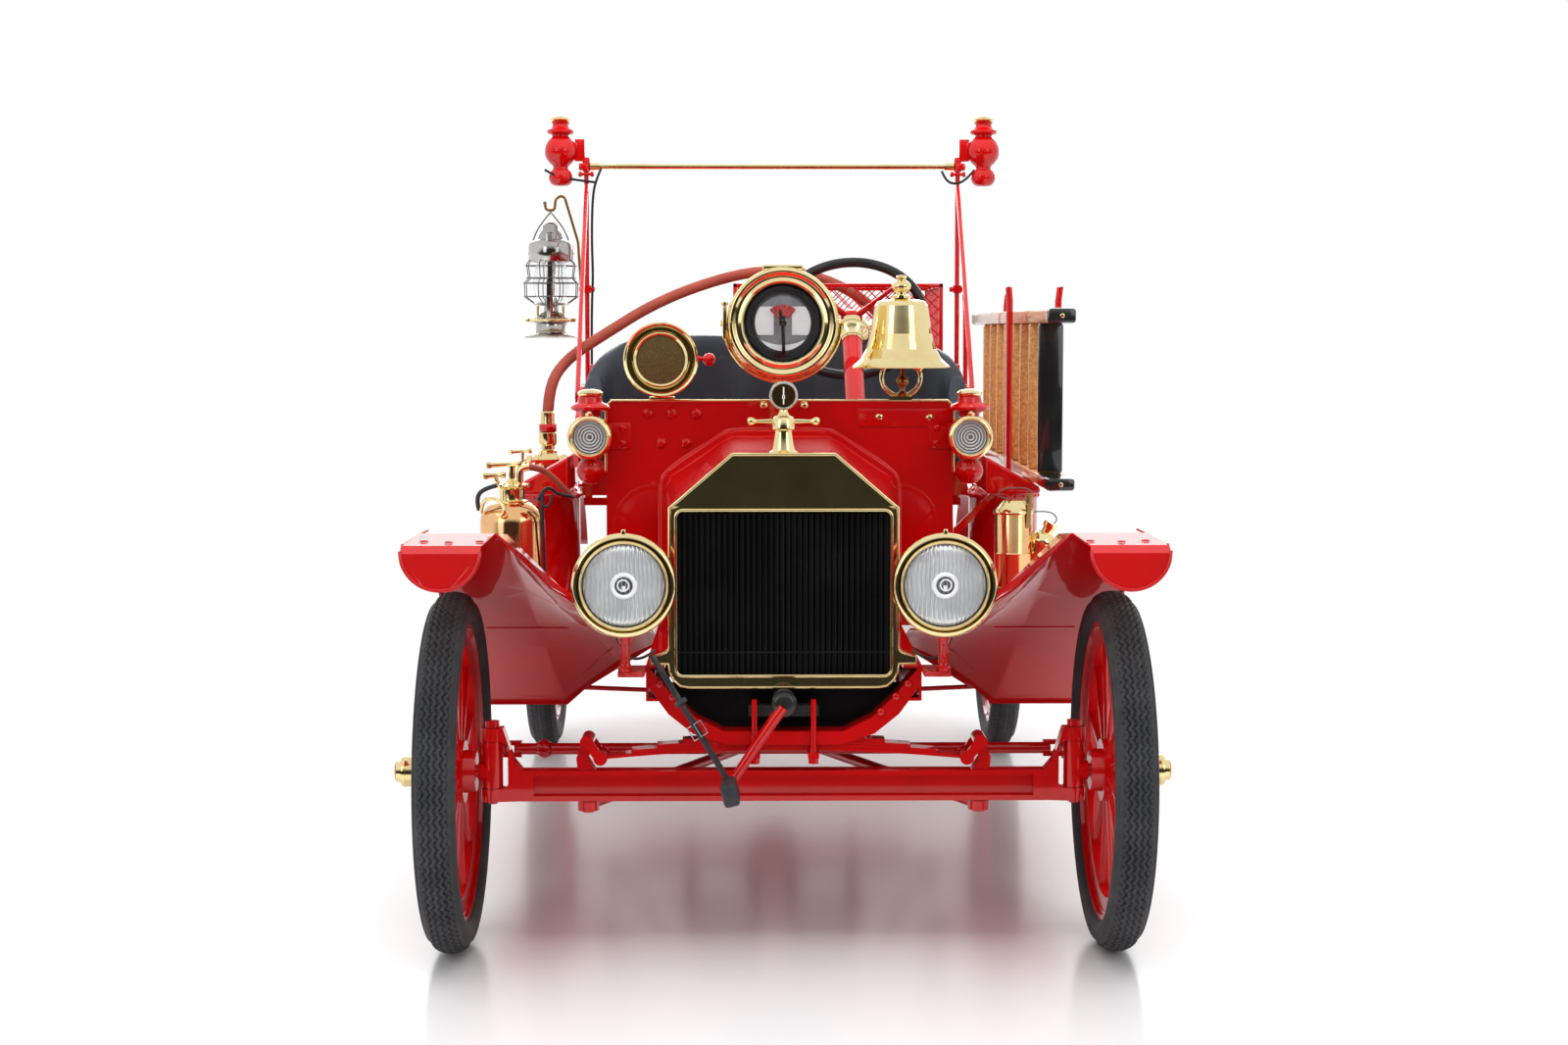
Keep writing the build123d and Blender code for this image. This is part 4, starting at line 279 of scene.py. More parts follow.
cadFinish = {                                          # every other node is fireRed
    "brightBrass": ["radiator_shell", "radiator_cap", "lamp_rims", "searchlight", "horn", "bell", "post_rail"],
    "agedBrass": ["lantern_arm"],
    "polishedCopper": ["extinguisher", "brass_canisters"],
    "nickelPlate": ["hanging_lantern"],
    "blackEnamel": ["radiator_core"],
    "castIron": ["engine_block"],
    "blackLeather": ["crank_strap", "seat_cushion", "seat_back"],
    "blackRubber": ["steering_wheel"],
    "wheelRubber": ["tyre_front_left", "tyre_front_right", "tyre_rear_left", "tyre_rear_right"],
    "hoseRubber": ["hose_coil", "hose_run"],
    "varnishedOak": ["ladder"],
    "lampGlass": ["lamp_lenses"],
}
finishOf = {member: name for name, members in cadFinish.items() for member in members}
for member in nodes:
    for holder in nodes[member].material_slots:
        holder.material = paint[finishOf.get(member, "fireRed")]
print("stage: finishes")


mm = 0.001
ahead, upright = (0, -1, 0), (0, 0, 1)
tyreLow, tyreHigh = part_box("tyre_front_left")
axleY = (tyreLow.y + tyreHigh.y) / 2


def spot(x, y, z):
    return Vector((x * mm, axleY + y * mm, z * mm))    # in mm from the ground under the front axle


def at(place):
    return place if isinstance(place, Vector) else spot(*place)


def near(centre, points):
    return [[a + b for a, b in zip(centre, point)] for point in points]


def bake(piece):
    pick(piece)
    bpy.ops.object.transform_apply(location=True, rotation=True, scale=True)
    return piece


def settle(piece, name, finish, smooth=35, body="chassis", both=False):
    piece = joined(piece) if isinstance(piece, list) else bake(piece)
    if both:
        piece = bothSides(piece)
    pick(piece)
    bpy.ops.object.shade_smooth_by_angle(angle=math.radians(smooth))
    piece.name = piece.data.name = name
    piece.data.materials.clear()
    piece.data.materials.append(paint[finish])
    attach(piece, body)
    return piece


def modified(piece, kind, **settings):
    pick(piece)
    change = piece.modifiers.new("change", kind)
    for name, value in settings.items():
        setattr(change, name, value)
    bpy.ops.object.modifier_apply(modifier="change")
    return piece


def merged(piece, threshold=0.00001, outward=True, closing=None):
    pick(piece)
    bpy.ops.object.mode_set(mode="EDIT")
    bpy.ops.mesh.select_all(action="SELECT")
    bpy.ops.mesh.remove_doubles(threshold=threshold)
    if outward:
        bpy.ops.mesh.normals_make_consistent(inside=False)
    if closing:                                        # the open edges are joined by a face or a bridge
        bpy.ops.mesh.select_all(action="DESELECT")
        bpy.ops.mesh.select_non_manifold()
        closing()
    bpy.ops.object.mode_set(mode="OBJECT")
    return piece


def aim(piece, place, axis):
    if axis:
        piece.rotation_mode = "QUATERNION"
        piece.rotation_quaternion = Vector(axis).to_track_quat("Z", "Y")
    piece.location = at(place)
    return bake(piece)


def lathe(profile, steps=64, place=Vector(), axis=None):
    pick()                                             # profile is (radius, height) in mm, turned about Z
    bpy.ops.mesh.primitive_plane_add(size=mm)
    piece = bpy.context.object
    bpy.ops.object.mode_set(mode="EDIT")
    bpy.ops.mesh.select_all(action="SELECT")
    bpy.ops.mesh.merge(type="CENTER")
    bpy.ops.transform.translate(value=(profile[0][0] * mm, 0, profile[0][1] * mm))
    for here, there in zip(profile, profile[1:]):
        step = ((there[0] - here[0]) * mm, 0, (there[1] - here[1]) * mm)
        bpy.ops.mesh.extrude_region_move(TRANSFORM_OT_translate={"value": step})
    bpy.ops.mesh.select_all(action="SELECT")
    bpy.ops.mesh.spin(steps=steps, angle=math.tau, center=(0, 0, 0), axis=upright)
    return aim(merged(piece), place, axis)


def copyOf(piece, mirrorX=False):
    twin = piece.copy()
    twin.data = piece.data.copy()
    bpy.context.scene.collection.objects.link(twin)
    if mirrorX:
        pick(twin)
        twin.data.transform(Matrix.Diagonal((-1, 1, 1, 1)))
        bpy.ops.object.mode_set(mode="EDIT")
        bpy.ops.mesh.select_all(action="SELECT")
        bpy.ops.mesh.flip_normals()
        bpy.ops.object.mode_set(mode="OBJECT")
    return twin


def joined(pieces):
    pick(pieces[0])
    for piece in pieces:
        piece.select_set(True)
    if len(pieces) > 1:
        bpy.ops.object.join()
    return bake(bpy.context.object)


def bothSides(piece):
    return joined([piece, copyOf(piece, mirrorX=True)])


def strand(runs, diameter, kind="NURBS", closed=False, sides=3, steps=6):
    pick()
    bpy.ops.curve.primitive_bezier_curve_add(location=(0, 0, 0))
    piece = bpy.context.object
    line = piece.data
    line.splines.clear()
    for run in runs:
        spline = line.splines.new(kind)
        spline.points.add(len(run) - 1)
        for index, point in enumerate(run):
            spline.points[index].co = (*at(point), 1)
        spline.use_cyclic_u = closed
        if kind == "NURBS":
            spline.order_u = 3
            spline.use_endpoint_u = not closed
    line.dimensions = "3D"
    line.resolution_u = steps
    line.bevel_depth = diameter * mm / 2
    line.bevel_resolution = sides
    line.use_fill_caps = not closed
    return piece


def wires(runs, *shape, **more):
    pick(strand(runs, *shape, **more))
    bpy.ops.object.convert(target="MESH")
    return bpy.context.object


def wire(points, *shape, **more):
    return wires([points], *shape, **more)


def plate(size, place, bevel=1.0, turn=(0, 0, 0)):
    pick()
    bpy.ops.mesh.primitive_cube_add(size=1, location=at(place), rotation=turn)
    piece = bpy.context.object
    piece.scale = [side * mm for side in size]
    return modified(bake(piece), "BEVEL", width=bevel * mm, segments=2)


def ringAt(place, axis, radius, thick, steps=48, sides=12):
    pick()
    bpy.ops.mesh.primitive_torus_add(major_radius=radius * mm, minor_radius=thick / 2 * mm, major_segments=steps,
                                     minor_segments=sides)
    return aim(bpy.context.object, place, axis)


def studs(places, axis, radius, height, dome=False):
    profile = [(0, 0), (radius, 0), (radius, height * 0.8), (radius * 0.86, height), (0, height)]
    if dome:
        profile = [(0, 0), (radius, 0), (radius * 0.96, height * 0.35), (radius * 0.72, height * 0.78),
                   (radius * 0.36, height * 0.96), (0, height)]
    first = lathe(profile, 16 if dome else 6)
    twins = [aim(copyOf(first), place, axis) for place in places]
    bpy.data.objects.remove(first)
    return joined(twins)


def wedge(corners, y0, y1):                            # corners (x, z): left low, left high, right low, right high
    pick()
    bpy.ops.mesh.primitive_cube_add(size=1, location=(0, 0, 0))
    piece = bpy.context.object
    for vertex in piece.data.vertices:
        x, z = corners[2 * (vertex.co.x > 0) + (vertex.co.z > 0)]
        vertex.co = spot(x, y1 if vertex.co.y > 0 else y0, z)
    return piece


def dressedCopy(node):                                 # a copy of a frame node, merged and ready to reshape
    twin = nodes[node].copy()
    twin.data = nodes[node].data.copy()
    twin.parent = None
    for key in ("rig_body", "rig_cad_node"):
        if key in twin:
            del twin[key]
    bpy.context.scene.collection.objects.link(twin)
    return merged(twin, 0.00002, outward=False)


headlamp = {"centre": (330, -140, 791), "rim": [(86, 9), (87, 13), (90, 15.5), (93, 13), (94, 8), (95, 8), (97, 14),
        (102, 13.5), (106, 10.5), (108, 6), (108, -5), (106.5, -7), (106.5, 2), (96, 4), (86, 4)], "bowl": [(84.5, 2),
        (80, -10), (66, -34), (48, -52), (26, -64), (12, -68), (0, -69)], "fluteCount": 19}


def headlampSet():
    x, y, z = headlamp["centre"]
    rim = lathe(headlamp["rim"], 96, (x, y, z), ahead)
    latch = plate((9, 10, 16), (x, y - 5, z + 108), 2)
    settle([rim, latch], "headlampRims", "brightBrass", 50, both=True)
    # black ring in the bottom of the brass rim's groove: painted shade
    groove = lathe([(93.4, 6), (93.4, 8.6), (95.6, 8.6), (95.6, 6)], 96, (x, y, z), ahead)
    settle(groove, "headlampGrooves", "blackEnamel", both=True)
    bowl = lathe(headlamp["bowl"], 64, (x, y, z), ahead)
    modified(bowl, "SOLIDIFY", thickness=0.6 * mm)
    settle(bowl, "headlampReflectors", "mirrorSilver", 60, both=True)
    pick()
    bpy.ops.mesh.primitive_grid_add(x_subdivisions=170, y_subdivisions=24, size=2)
    glass = bpy.context.object                         # upright flutes, thicker where each stands out
    reach = headlamp["bowl"][0][0]
    for vertex in glass.data.vertices:
        u, v = vertex.co.x, vertex.co.y
        across, up = u * math.sqrt(1 - v * v / 2) * reach, v * math.sqrt(1 - u * u / 2) * reach
        swell = 1 - (across * across + up * up) / reach ** 2
        drift = across + 0.9 * math.sin(up * 0.085) + 0.3 * math.sin(up * 0.21 + across * 0.09)
        flute = abs(math.sin(drift / reach * headlamp["fluteCount"] * math.pi / 2))
        vertex.co = Vector((across, up, 2 + 5 * max(swell, 0) ** 0.7 + 2.6 * flute * (1 if swell > 0.03 else 0))) * mm
    modified(glass, "SOLIDIFY", thickness=2.4 * mm, offset=-1)
    aim(glass, (x, y, z), ahead)
    settle(glass, "headlampGlasses", "flutedGlass", 30, both=True)
    cup = joined([lathe([(18, 7), (19, 11), (23, 13), (27, 11), (28, 7), (22, 6)], 40, (x, y, z), ahead), lathe([(9, 7),
            (10, 11), (13, 11), (13.5, 7)], 32, (x + 1, y, z + 1), ahead), plate((7, 3, 12), (x, y - 10, z - 6), 0.8)])
    settle(cup, "headlampSockets", "whiteGloss", 50, both=True)
    pit = lathe([(0, 9.4), (18.4, 9.4), (18.4, 6), (0, 6)], 32, (x, y, z), ahead)
    settle(pit, "headlampPits", "dullSteel", 50, both=True)
    stem = [(x + 24, y + 40, z - 96), (x + 6, y + 60, z - 150), (x - 30, y + 80, z - 168), (272, -10, 640)]
    settle(wire(stem, 6), "headlampWires", "blackRubber", both=True)
    base = studs([(x, y + 36, 602), (x, y + 36, 612)], upright, 15, 8)
    post = lathe([(12, 0), (15, 6), (13, 14), (10.5, 24), (10.5, 60), (14, 72), (20, 80), (20, 84), (0, 84)], 24,
            (x, y + 36, 604), upright)
    settle([base, post], "headlampPosts", "fireRed", both=True)


headlampSet()
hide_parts("lamp_rims", "lamp_lenses")


cowlLamp = {"centre": (445, 575, 1064), "rings": 5, "radius": 50}


def cowlLampSet():
    x, y, z = cowlLamp["centre"]
    r = cowlLamp["radius"]
    rim = lathe([(r - 11, 9), (r - 10, 14), (r - 6, 17), (r - 1, 15.5), (r + 2, 11), (r + 3, 4), (r + 3, -6),
            (r + 0.6, -7), (r + 0.6, 2), (r - 11, 3)], 64, (x, y, z), ahead)
    knob = lathe([(0, 0), (9, 1), (10, 6), (7, 10), (4, 13), (7, 18), (6, 23), (0, 26)], 24, (x, y - 7, z + r), upright)
    dome = lathe([(0, 0), (27, 0), (30, 3), (30, 7), (24, 12), (12, 15), (0, 16)], 40, (x, y + 32, z + 96), upright)
    settle([rim, knob, dome], "cowlLampBrass", "brightBrass", 45, both=True)
    back = lathe([(0, 2), (r - 10.6, 2), (r - 10.6, 0.6), (0, 0.6)], 64, (x, y, z), ahead)
    settle(back, "cowlLampReflectors", "dullSteel", 50, both=True)
    rings = [ringAt((x, y - 2.4, z), ahead, 7.4 + 7 * index, 3.6, 56, 10) for index in range(cowlLamp["rings"])]
    settle(rings, "cowlLampRings", "paleSilver", 60, both=True)
    glass = lathe([(0, 9.4), (r - 10.4, 7.6), (r - 10.4, 6.6), (0, 8.2)], 64, (x, y, z), ahead)
    settle(glass, "cowlLampGlasses", "lampGlass", 50, both=True)
    collar = lathe([(24, 0), (25, 6), (34, 10), (45, 13), (47, 19), (43, 25), (30, 30), (25, 36), (25, 46)], 40,
            (x, y + 32, z + 50), upright)
    font = lathe([(0, -112), (10, -111), (20, -106), (30, -94), (34, -82), (32, -70), (24, -60), (20, -54), (26, -50),
            (26, -46), (0, -46)], 40, (x, y + 32, z), upright)
    settle([collar, font], "cowlLampBodies", "fireRed", 45, both=True)


cowlLampSet()
print("stage: lamps")


hose = {"length": 15.3, "diameter": 32, "centre": (190, 2400), "low": 928.3, "pitch": 34, "layers": 4, "turnShare": 320,
        "window": 40, "pointsPerTurn": 16, "nozzle": 92, "route": [(-648, 1850, 1046), (-648, 1850, 1145),
        (-603, 1926, 1228), (-492, 2010, 1302), (-358, 2090, 1388), (-200, 2180, 1454), (-40, 2250, 1494),
        (125, 2262, 1482), (282, 2236, 1405), (378, 2330, 1290), (372, 2482, 1190), (250, 2582, 1120),
        (92, 2574, 1072), (2, 2462, 1054)]}


def coilSeats():
    seats = []                                         # (radius, height) of each turn, from the top down
    for layer in range(hose["layers"]):
        radii = [200 + hose["pitch"], 200, 200 - hose["pitch"]]
        if layer % 2:
            radii.reverse()
        level = hose["low"] + (hose["layers"] - 1 - layer) * hose["diameter"]
        seats += [(radius, level) for radius in radii]
    return seats


def coilPoint(turned, seats):
    index = int(turned // hose["turnShare"])
    here = seats[min(index, len(seats) - 1)]
    before = seats[index - 1] if index else (222, 1056)
    window = hose["window"] if index else 95
    share = min((turned - index * hose["turnShare"]) / window, 1)
    radius = before[0] + (here[0] - before[0]) * share
    level = before[1] + (here[1] - before[1]) * share
    return radius, level


def hoseLine():
    seats = coilSeats()
    step = 360 / hose["pointsPerTurn"]
    pull = math.cos(math.radians(step / 2))            # the curve runs inside its control points
    first = hose["route"][-1]
    x, y = hose["centre"]
    start = math.degrees(math.atan2(first[1] - y, first[0] - x))
    points = list(hose["route"])
    for index in range(1, int(len(seats) * hose["turnShare"] / step)):
        radius, level = coilPoint(index * step, seats)
        angle = math.radians(start + index * step)
        points.append((x + radius / pull * math.cos(angle), y + radius / pull * math.sin(angle), level))
    return points


def rubberHose():
    points = hoseLine()
    piece = strand([points], hose["diameter"], sides=4, steps=5)
    piece.name = piece.data.name = "rubberHose"
    piece.data.materials.append(paint["hoseRubber"])
    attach(piece, "chassis")
    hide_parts("hose_run", "hose_coil")
    before, last = spot(*points[-2]), spot(*points[-1])
    inward = (spot(*hose["centre"], points[-1][2]) - last).normalized()
    way = ((last - before).normalized() + inward * 0.20).normalized()
    long = hose["nozzle"]
    tip = lathe([(0, -30), (17, -30), (17, -8), (13, -4), (13, 6), (10, 10), (7, long - 6), (8, long), (4, long),
            (3, long - 8), (0, long - 8)], 32, last, way)
    settle(tip, "hoseNozzle", "brightBrass", 40)


rubberHose()
print("stage: hose")


tread = {"bulge": 1.15, "waves": 104, "ribs": (-24, -12, 0, 12, 24), "depth": 5.0, "swing": 3.4, "groove": 4.2,
        "shoulder": 31}
tyres = {"tyre_front_left": ("front_wheel_left", 76, 832, 72), "tyre_front_right": ("front_wheel_right", 76, 832, 72),
        "tyre_rear_left": ("rear_wheel_left", 89, 416, 44), "tyre_rear_right": ("rear_wheel_right", 89, 416, 44)}
hubCaps = {"wheel_front_left": ("front_wheel_left", 824, 1), "wheel_front_right": ("front_wheel_right", -824, -1),
        "wheel_rear_left": ("rear_wheel_left", 814, 1), "wheel_rear_right": ("rear_wheel_right", -814, -1)}
wheelBolts = {"ring": 54, "count": 12, "front": (125.5, 24), "rear": (103, 26)}    # the pair: inset from the cap, reach


def treadCut(along, across, width):
    wave = abs((along * tread["waves"]) % 1 * 2 - 1)   # 0 to 1 and back on each wave
    shift = (wave - 0.5) * 2 * tread["swing"]
    scale = width / 76
    if abs(across) > (tread["shoulder"] + (wave - 0.5) * 5) * scale:
        return 0.55 if abs(across) < 44 * scale else 0
    nearest = min(abs(across / scale - rib - shift) for rib in tread["ribs"])
    edge = 6.0 - tread["groove"] / 2
    return max(0, min((nearest - edge) / 0.9, 1))


def treadTyre(node, body, width, around, over):
    low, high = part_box(node)
    centre = (low + high) / 2
    half = width / 2
    outer = (high.z - low.z) / 2 / mm
    seat = outer - width + 10
    middle = outer - half
    reach = math.pi - math.acos((middle - seat) / half)
    pick()
    bpy.ops.mesh.primitive_grid_add(x_subdivisions=around, y_subdivisions=over, size=2)
    piece = bpy.context.object
    for vertex in piece.data.vertices:
        along, lean = (vertex.co.x + 1) / 2, vertex.co.y * reach
        cut = tread["depth"] * treadCut(along, lean * half, width) if abs(lean * half) < 46 * width / 76 else 0
        radius = middle + (half - cut) * math.cos(lean)
        side = (half - cut) * math.sin(lean) * (tread["bulge"] if width < 80 else 1)
        angle = along * math.tau
        vertex.co = Vector((side, radius * math.sin(angle), radius * math.cos(angle))) * mm + centre
    merged(piece, closing=bpy.ops.mesh.bridge_edge_loops)
    settle(piece, "tread" + node[4:].title().replace("_", ""), "wheelRubber", 40, body=body)
    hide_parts(node)


def hubCap(node, body, face, side):
    low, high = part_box(node)
    place = Vector((face * mm, (low.y + high.y) / 2, (low.z + high.z) / 2))
    cap = lathe([(31, -54), (33, -54), (33, -24), (34, -21), (33, -18), (31, -17), (31, -15), (23, -13), (22.8, -5),
            (16, 0.4), (9, 1.6), (0, 2)], 48)
    settle(aim(cap, place, (side, 0, 0)), "hubCap" + node[5:].title().replace("_", ""), "brightBrass", 40, body=body)
    bolts = []
    for index in range(wheelBolts["count"]):
        angle = math.tau * index / wheelBolts["count"]
        bolts.append((wheelBolts["ring"] * math.sin(angle), wheelBolts["ring"] * math.cos(angle)))
    inset, reach = wheelBolts["front" if "front" in node else "rear"]
    heads = studs([place + Vector((side * (reach - inset), y, z)) * mm for y, z in bolts], (side, 0, 0), 6, 6)
    settle(heads, "hubBolts" + node[5:].title().replace("_", ""), "fireRed", 30, body=body)


for node, (body, width, around, over) in tyres.items():
    treadTyre(node, body, width, around, over)
for node, (body, face, side) in hubCaps.items():
    hubCap(node, body, face, side)
print("stage: wheels")


front = {"shellY": -20, "rim": 7, "seamZ": 635, "coreHalf": 225, "coreLow": 590, "coreHigh": 936,
        "shoulder": (240, 942), "top": (108, 1055), "firewall": (411, 650, 1148), "gauge": (0, 20, 1176, 30)}
rivets = [(-312, 1117), (-256, 1117), (-197, 1117), (-281, 1047), (-222, 1047)]
screws = [(-38, 1136), (58, 1136), (235, 1109), (354, 1107)]


def roundedLoop(half, low, high, radius, y, perCorner=5):
    points = []
    for side, level, start in ((1, high, 0), (-1, high, 90), (-1, low, 180), (1, low, 270)):
        for index in range(perCorner + 1):
            angle = math.radians(start + 90 * index / perCorner)
            lean = -radius if level == high else radius
            points.append(
                    (side * (half - radius) + radius * math.cos(angle), y, level + lean + radius * math.sin(angle)))
    return points


def radiatorTrim():
    y = front["shellY"]
    side, shoulder = front["shoulder"]
    topHalf, topZ = front["top"]
    edge = [(-side, 640), (-side, shoulder), (-topHalf, topZ), (topHalf, topZ), (side, shoulder), (side, 640)]
    line = wire([(x, y, z - 1) for x, z in edge], front["rim"], "POLY")
    seam = wire([(1 - side, y, shoulder), (side - 1, y, shoulder)], 6, "POLY")
    bead = wire(roundedLoop(front["coreHalf"] + 2, front["coreLow"] - 3, front["coreHigh"] + 1, 15, y - 4), 7, "POLY",
            True)
    ear = [(240, 672), (241, 648), (248, 637), (264, 631), (280, 628), (280, 613), (243, 612), (241, 595), (232, 577),
            (218, 565), (200, 562)]
    foot = wire([(-x, y, z) for x, z in ear] + [(x, y, z) for x, z in reversed(ear)], 5, "POLY")
    settle([line, seam, bead, foot], "radiatorBeads", "brightBrass", 60)
    joint = plate((2 * front["coreHalf"] - 4, 4, 3), (0, y + 14, front["seamZ"]), 0.8)
    tubes = [plate((1.6, 3, front["coreHigh"] - front["coreLow"] - 6), (-220 + 12.2 * index, y + 13.4, 763), 0.3)
            for index in range(37)]
    settle([joint] + tubes, "radiatorFinEdges", "finBlack")


def firewallTrim():
    half, y, top = front["firewall"]
    corner = 14
    edge = [(-half, 980), (-half, top - corner), (corner - half, top), (half - corner, top), (half, top - corner),
            (half, 980)]
    trim = wire([(x, y - 1, z - 1) for x, z in edge], 7, "POLY")
    heads = studs([(x, y - 4, z) for x, z in screws], ahead, 10, 7, dome=True)
    settle([trim, heads], "firewallBrass", "brightBrass", 60)
    strap = plate((224, 6, 42), (297, y - 2, 1107), 1.5)
    buttons = studs([(x, y, z) for x, z in rivets], ahead, 13, 8, dome=True)
    arms = [plate((58, 5, 62), (sign * 382, y - 2, 1064), 14) for sign in (-1, 1)]
    bosses = studs([(sign * 372, y - 4, z) for sign in (-1, 1) for z in (1046, 1082)], ahead, 9, 4, dome=True)
    settle([strap, buttons, bosses] + arms, "firewallFittings", "fireRed", 40)


def radiatorCap():
    x, y, z, radius = front["gauge"]
    stem = lathe([(0, 1052), (31, 1052), (31, 1057), (25, 1061), (22, 1074), (18, 1098), (18, 1103), (24, 1106),
            (24, 1126), (20, 1131), (13, 1134), (10, 1140), (8, 1146), (8, 1150), (0, 1150)], 40, (x, y, 0))
    bar = lathe([(0, -76), (5, -76), (8, -72), (8.5, -67), (6.5, -62), (4, -59), (3.6, -54), (5, -22), (5, 22),
            (3.6, 54), (4, 59), (6.5, 62), (8.5, 67), (8, 72), (5, 76), (0, 76)], 24, (x, y, 1122), (1, 0, 0))
    cup = lathe([(0, -10), (radius - 6, -9), (radius - 1, -4), (radius - 1, 6), (radius - 3, 7), (0, 5)], 48, (x, y, z),
            ahead)
    settle([stem, bar, cup], "capBrass", "brightBrass", 40)
    bezel = lathe([(24, 6), (24.5, 9), (27, 10.5), (29.5, 9), (30.4, 5), (30.4, -3), (28, -5), (28, 5)], 48, (x, y, z),
            ahead)
    settle(bezel, "gaugeBezel", "nickelPlate", 50)
    face = lathe([(0, 7.4), (24.2, 7.4), (24.2, 6), (0, 6)], 40, (x, y, z), ahead)
    settle(face, "gaugeFace", "agedBrass")
    dark = lathe([(15, 7.5), (15, 8.4), (24, 8.4), (24, 7.5)], 40, (x, y, z), ahead)
    settle(dark, "gaugeScale", "agedBrass")
    needle = joined([plate((2.8, 1.6, 37), (x, y - 9, z), 0.6), plate((6, 1.6, 8), (x, y - 9, z - 3), 0.6)])
    settle(needle, "gaugeNeedle", "whiteGloss")
    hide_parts("radiator_cap")


def hoodRidges():
    ridges = []
    for y, rise, thick in ((640, 7, 15), (606, 2.5, 10)):
        half = [(115, 1073 + rise), (140, 1061 + rise * 0.8), (266 + rise * 0.7, 978 + rise * 0.5), (275 + rise, 955),
                (275 + rise, 800), (275 + rise, 622)]
        path = [(-x, z) for x, z in reversed(half)] + half
        ridges.append(wire([(x, y, z) for x, z in path], thick, sides=5, steps=8))
    settle(ridges, "hoodRidges", "fireRed", 60)


radiatorTrim()
hoodRidges()
firewallTrim()
radiatorCap()


searchlight = {"centre": (6, 560, 1330), "radius": 130}
horn = {"centre": (-278, 560, 1245), "radius": 87, "mesh": 56}
bell = {"centre": (287, 659, 1225)}


def roundCut(piece, radius, place, operation):         # INTERSECT keeps what is in the disc, DIFFERENCE takes it away
    pick()
    bpy.ops.mesh.primitive_cylinder_add(vertices=96, radius=radius * mm, depth=60 * mm, location=at(place),
            rotation=(math.pi / 2, 0, 0))
    cutter = bpy.context.object
    modified(piece, "BOOLEAN", operation=operation, object=cutter)
    bpy.data.objects.remove(cutter)
    return piece


def searchlightSet():
    x, y, z = searchlight["centre"]
    r = searchlight["radius"]
    rim = lathe([(r - 39, 0), (r - 38, 5), (r - 33, 8), (r - 28, 6), (r - 24, 4), (r - 19, 5), (r - 14, 11),
            (r - 9, 12), (r - 4, 9), (r - 2, 3), (r - 2, -20), (r - 5, -24), (r - 12, -26), (r - 14, -20),
            (r - 14, -2)], 96, (x, y, z), ahead)
    crown = plate((96, 60, 12), (x, y + 38, z + r - 1), 4)
    latch = joined([plate((10, 14, 78), (x - r - 5, y + 8, z + 2), 2), lathe([(0, 0), (9, 2), (9, 8), (0, 12)], 20,
            (x - r - 5, y + 8, z + 40), upright)])
    settle([rim, crown, latch], "searchlightRim", "brightBrass", 50)
    tunnel = lathe([(r - 38, 1), (r - 41, -3), (r - 46, -5), (r - 48, -12), (r - 54, -14), (r - 56, -20), (70, -22),
            (69, -28), (69, -44), (r - 40, -44), (r - 37, -6)], 72, (x, y, z), ahead)
    settle(tunnel, "searchlightTunnel", "blackEnamel", 30)
    # the reflector dish is coloured dark grey: painted shade for the dark middle band of its reflection
    dish = lathe([(0, -27), (44, -28), (60, -30), (70, -34), (70, -40), (0, -40)], 64, (x, y, z), ahead)
    settle(dish, "searchlightReflector", "reflectorPaintedDark", 60)
    # white patches left, right and below in front of the mirror: painted reflection of the bright surroundings, with
    # the dark dish showing between them
    gleamPatches = [roundCut(plate((44, 1.2, 66), (x + side * 43, y + 24, z + 5), 0.3), 65, (x, y + 24, z), "INTERSECT")
            for side in (-1, 1)]
    gleamCrescent = roundCut(plate((136, 1.2, 40), (x, y + 26, z - 52), 0.3), 65, (x, y + 26, z), "INTERSECT")
    gleamPatches.append(roundCut(gleamCrescent, 110, (x, y + 26, z + 59), "DIFFERENCE"))
    settle(gleamPatches, "searchlightGleams", "whiteGloss", 60)
    # red strokes fanned across the top of the mirror: a painted reflection of red paint, not a hood
    glintStrokes = []
    for index in range(9):
        angle = math.radians(-38 + 76 * index / 8)
        glintStrokes.append(wire([(x + 14 * math.sin(angle), y + 18, z + 16 * math.cos(angle)),
                (x + 44 * math.sin(angle), y + 20, z + 42 * math.cos(angle))], 8, "POLY"))
    settle(glintStrokes, "searchlightHood", "fireRed", 60)
    glass = lathe([(0, 3), (40, 1), (90, -3), (90, -5), (40, -1), (0, 1)], 64, (x, y, z), ahead)
    settle(glass, "searchlightGlass", "lampGlass", 60)
    burner = joined([wire([(x + 2, y + 12, z - 68), (x, y + 12, z - 2)], 8, "POLY"), lathe([(0, 0), (8, 1), (9, 9),
            (5, 14), (5, 24), (0, 26)], 20, (x, y + 12, z - 8), upright), wire([(x - 6, y + 17, z + 30),
            (x - 3, y + 17, z)], 9, "POLY")])
    settle(burner, "searchlightBurner", "blackEnamel")
    tip = lathe([(0, 0), (6, 1), (6, 8), (0, 9)], 16, (x, y + 4, z + 2), ahead)
    settle(tip, "searchlightTip", "brightBrass")


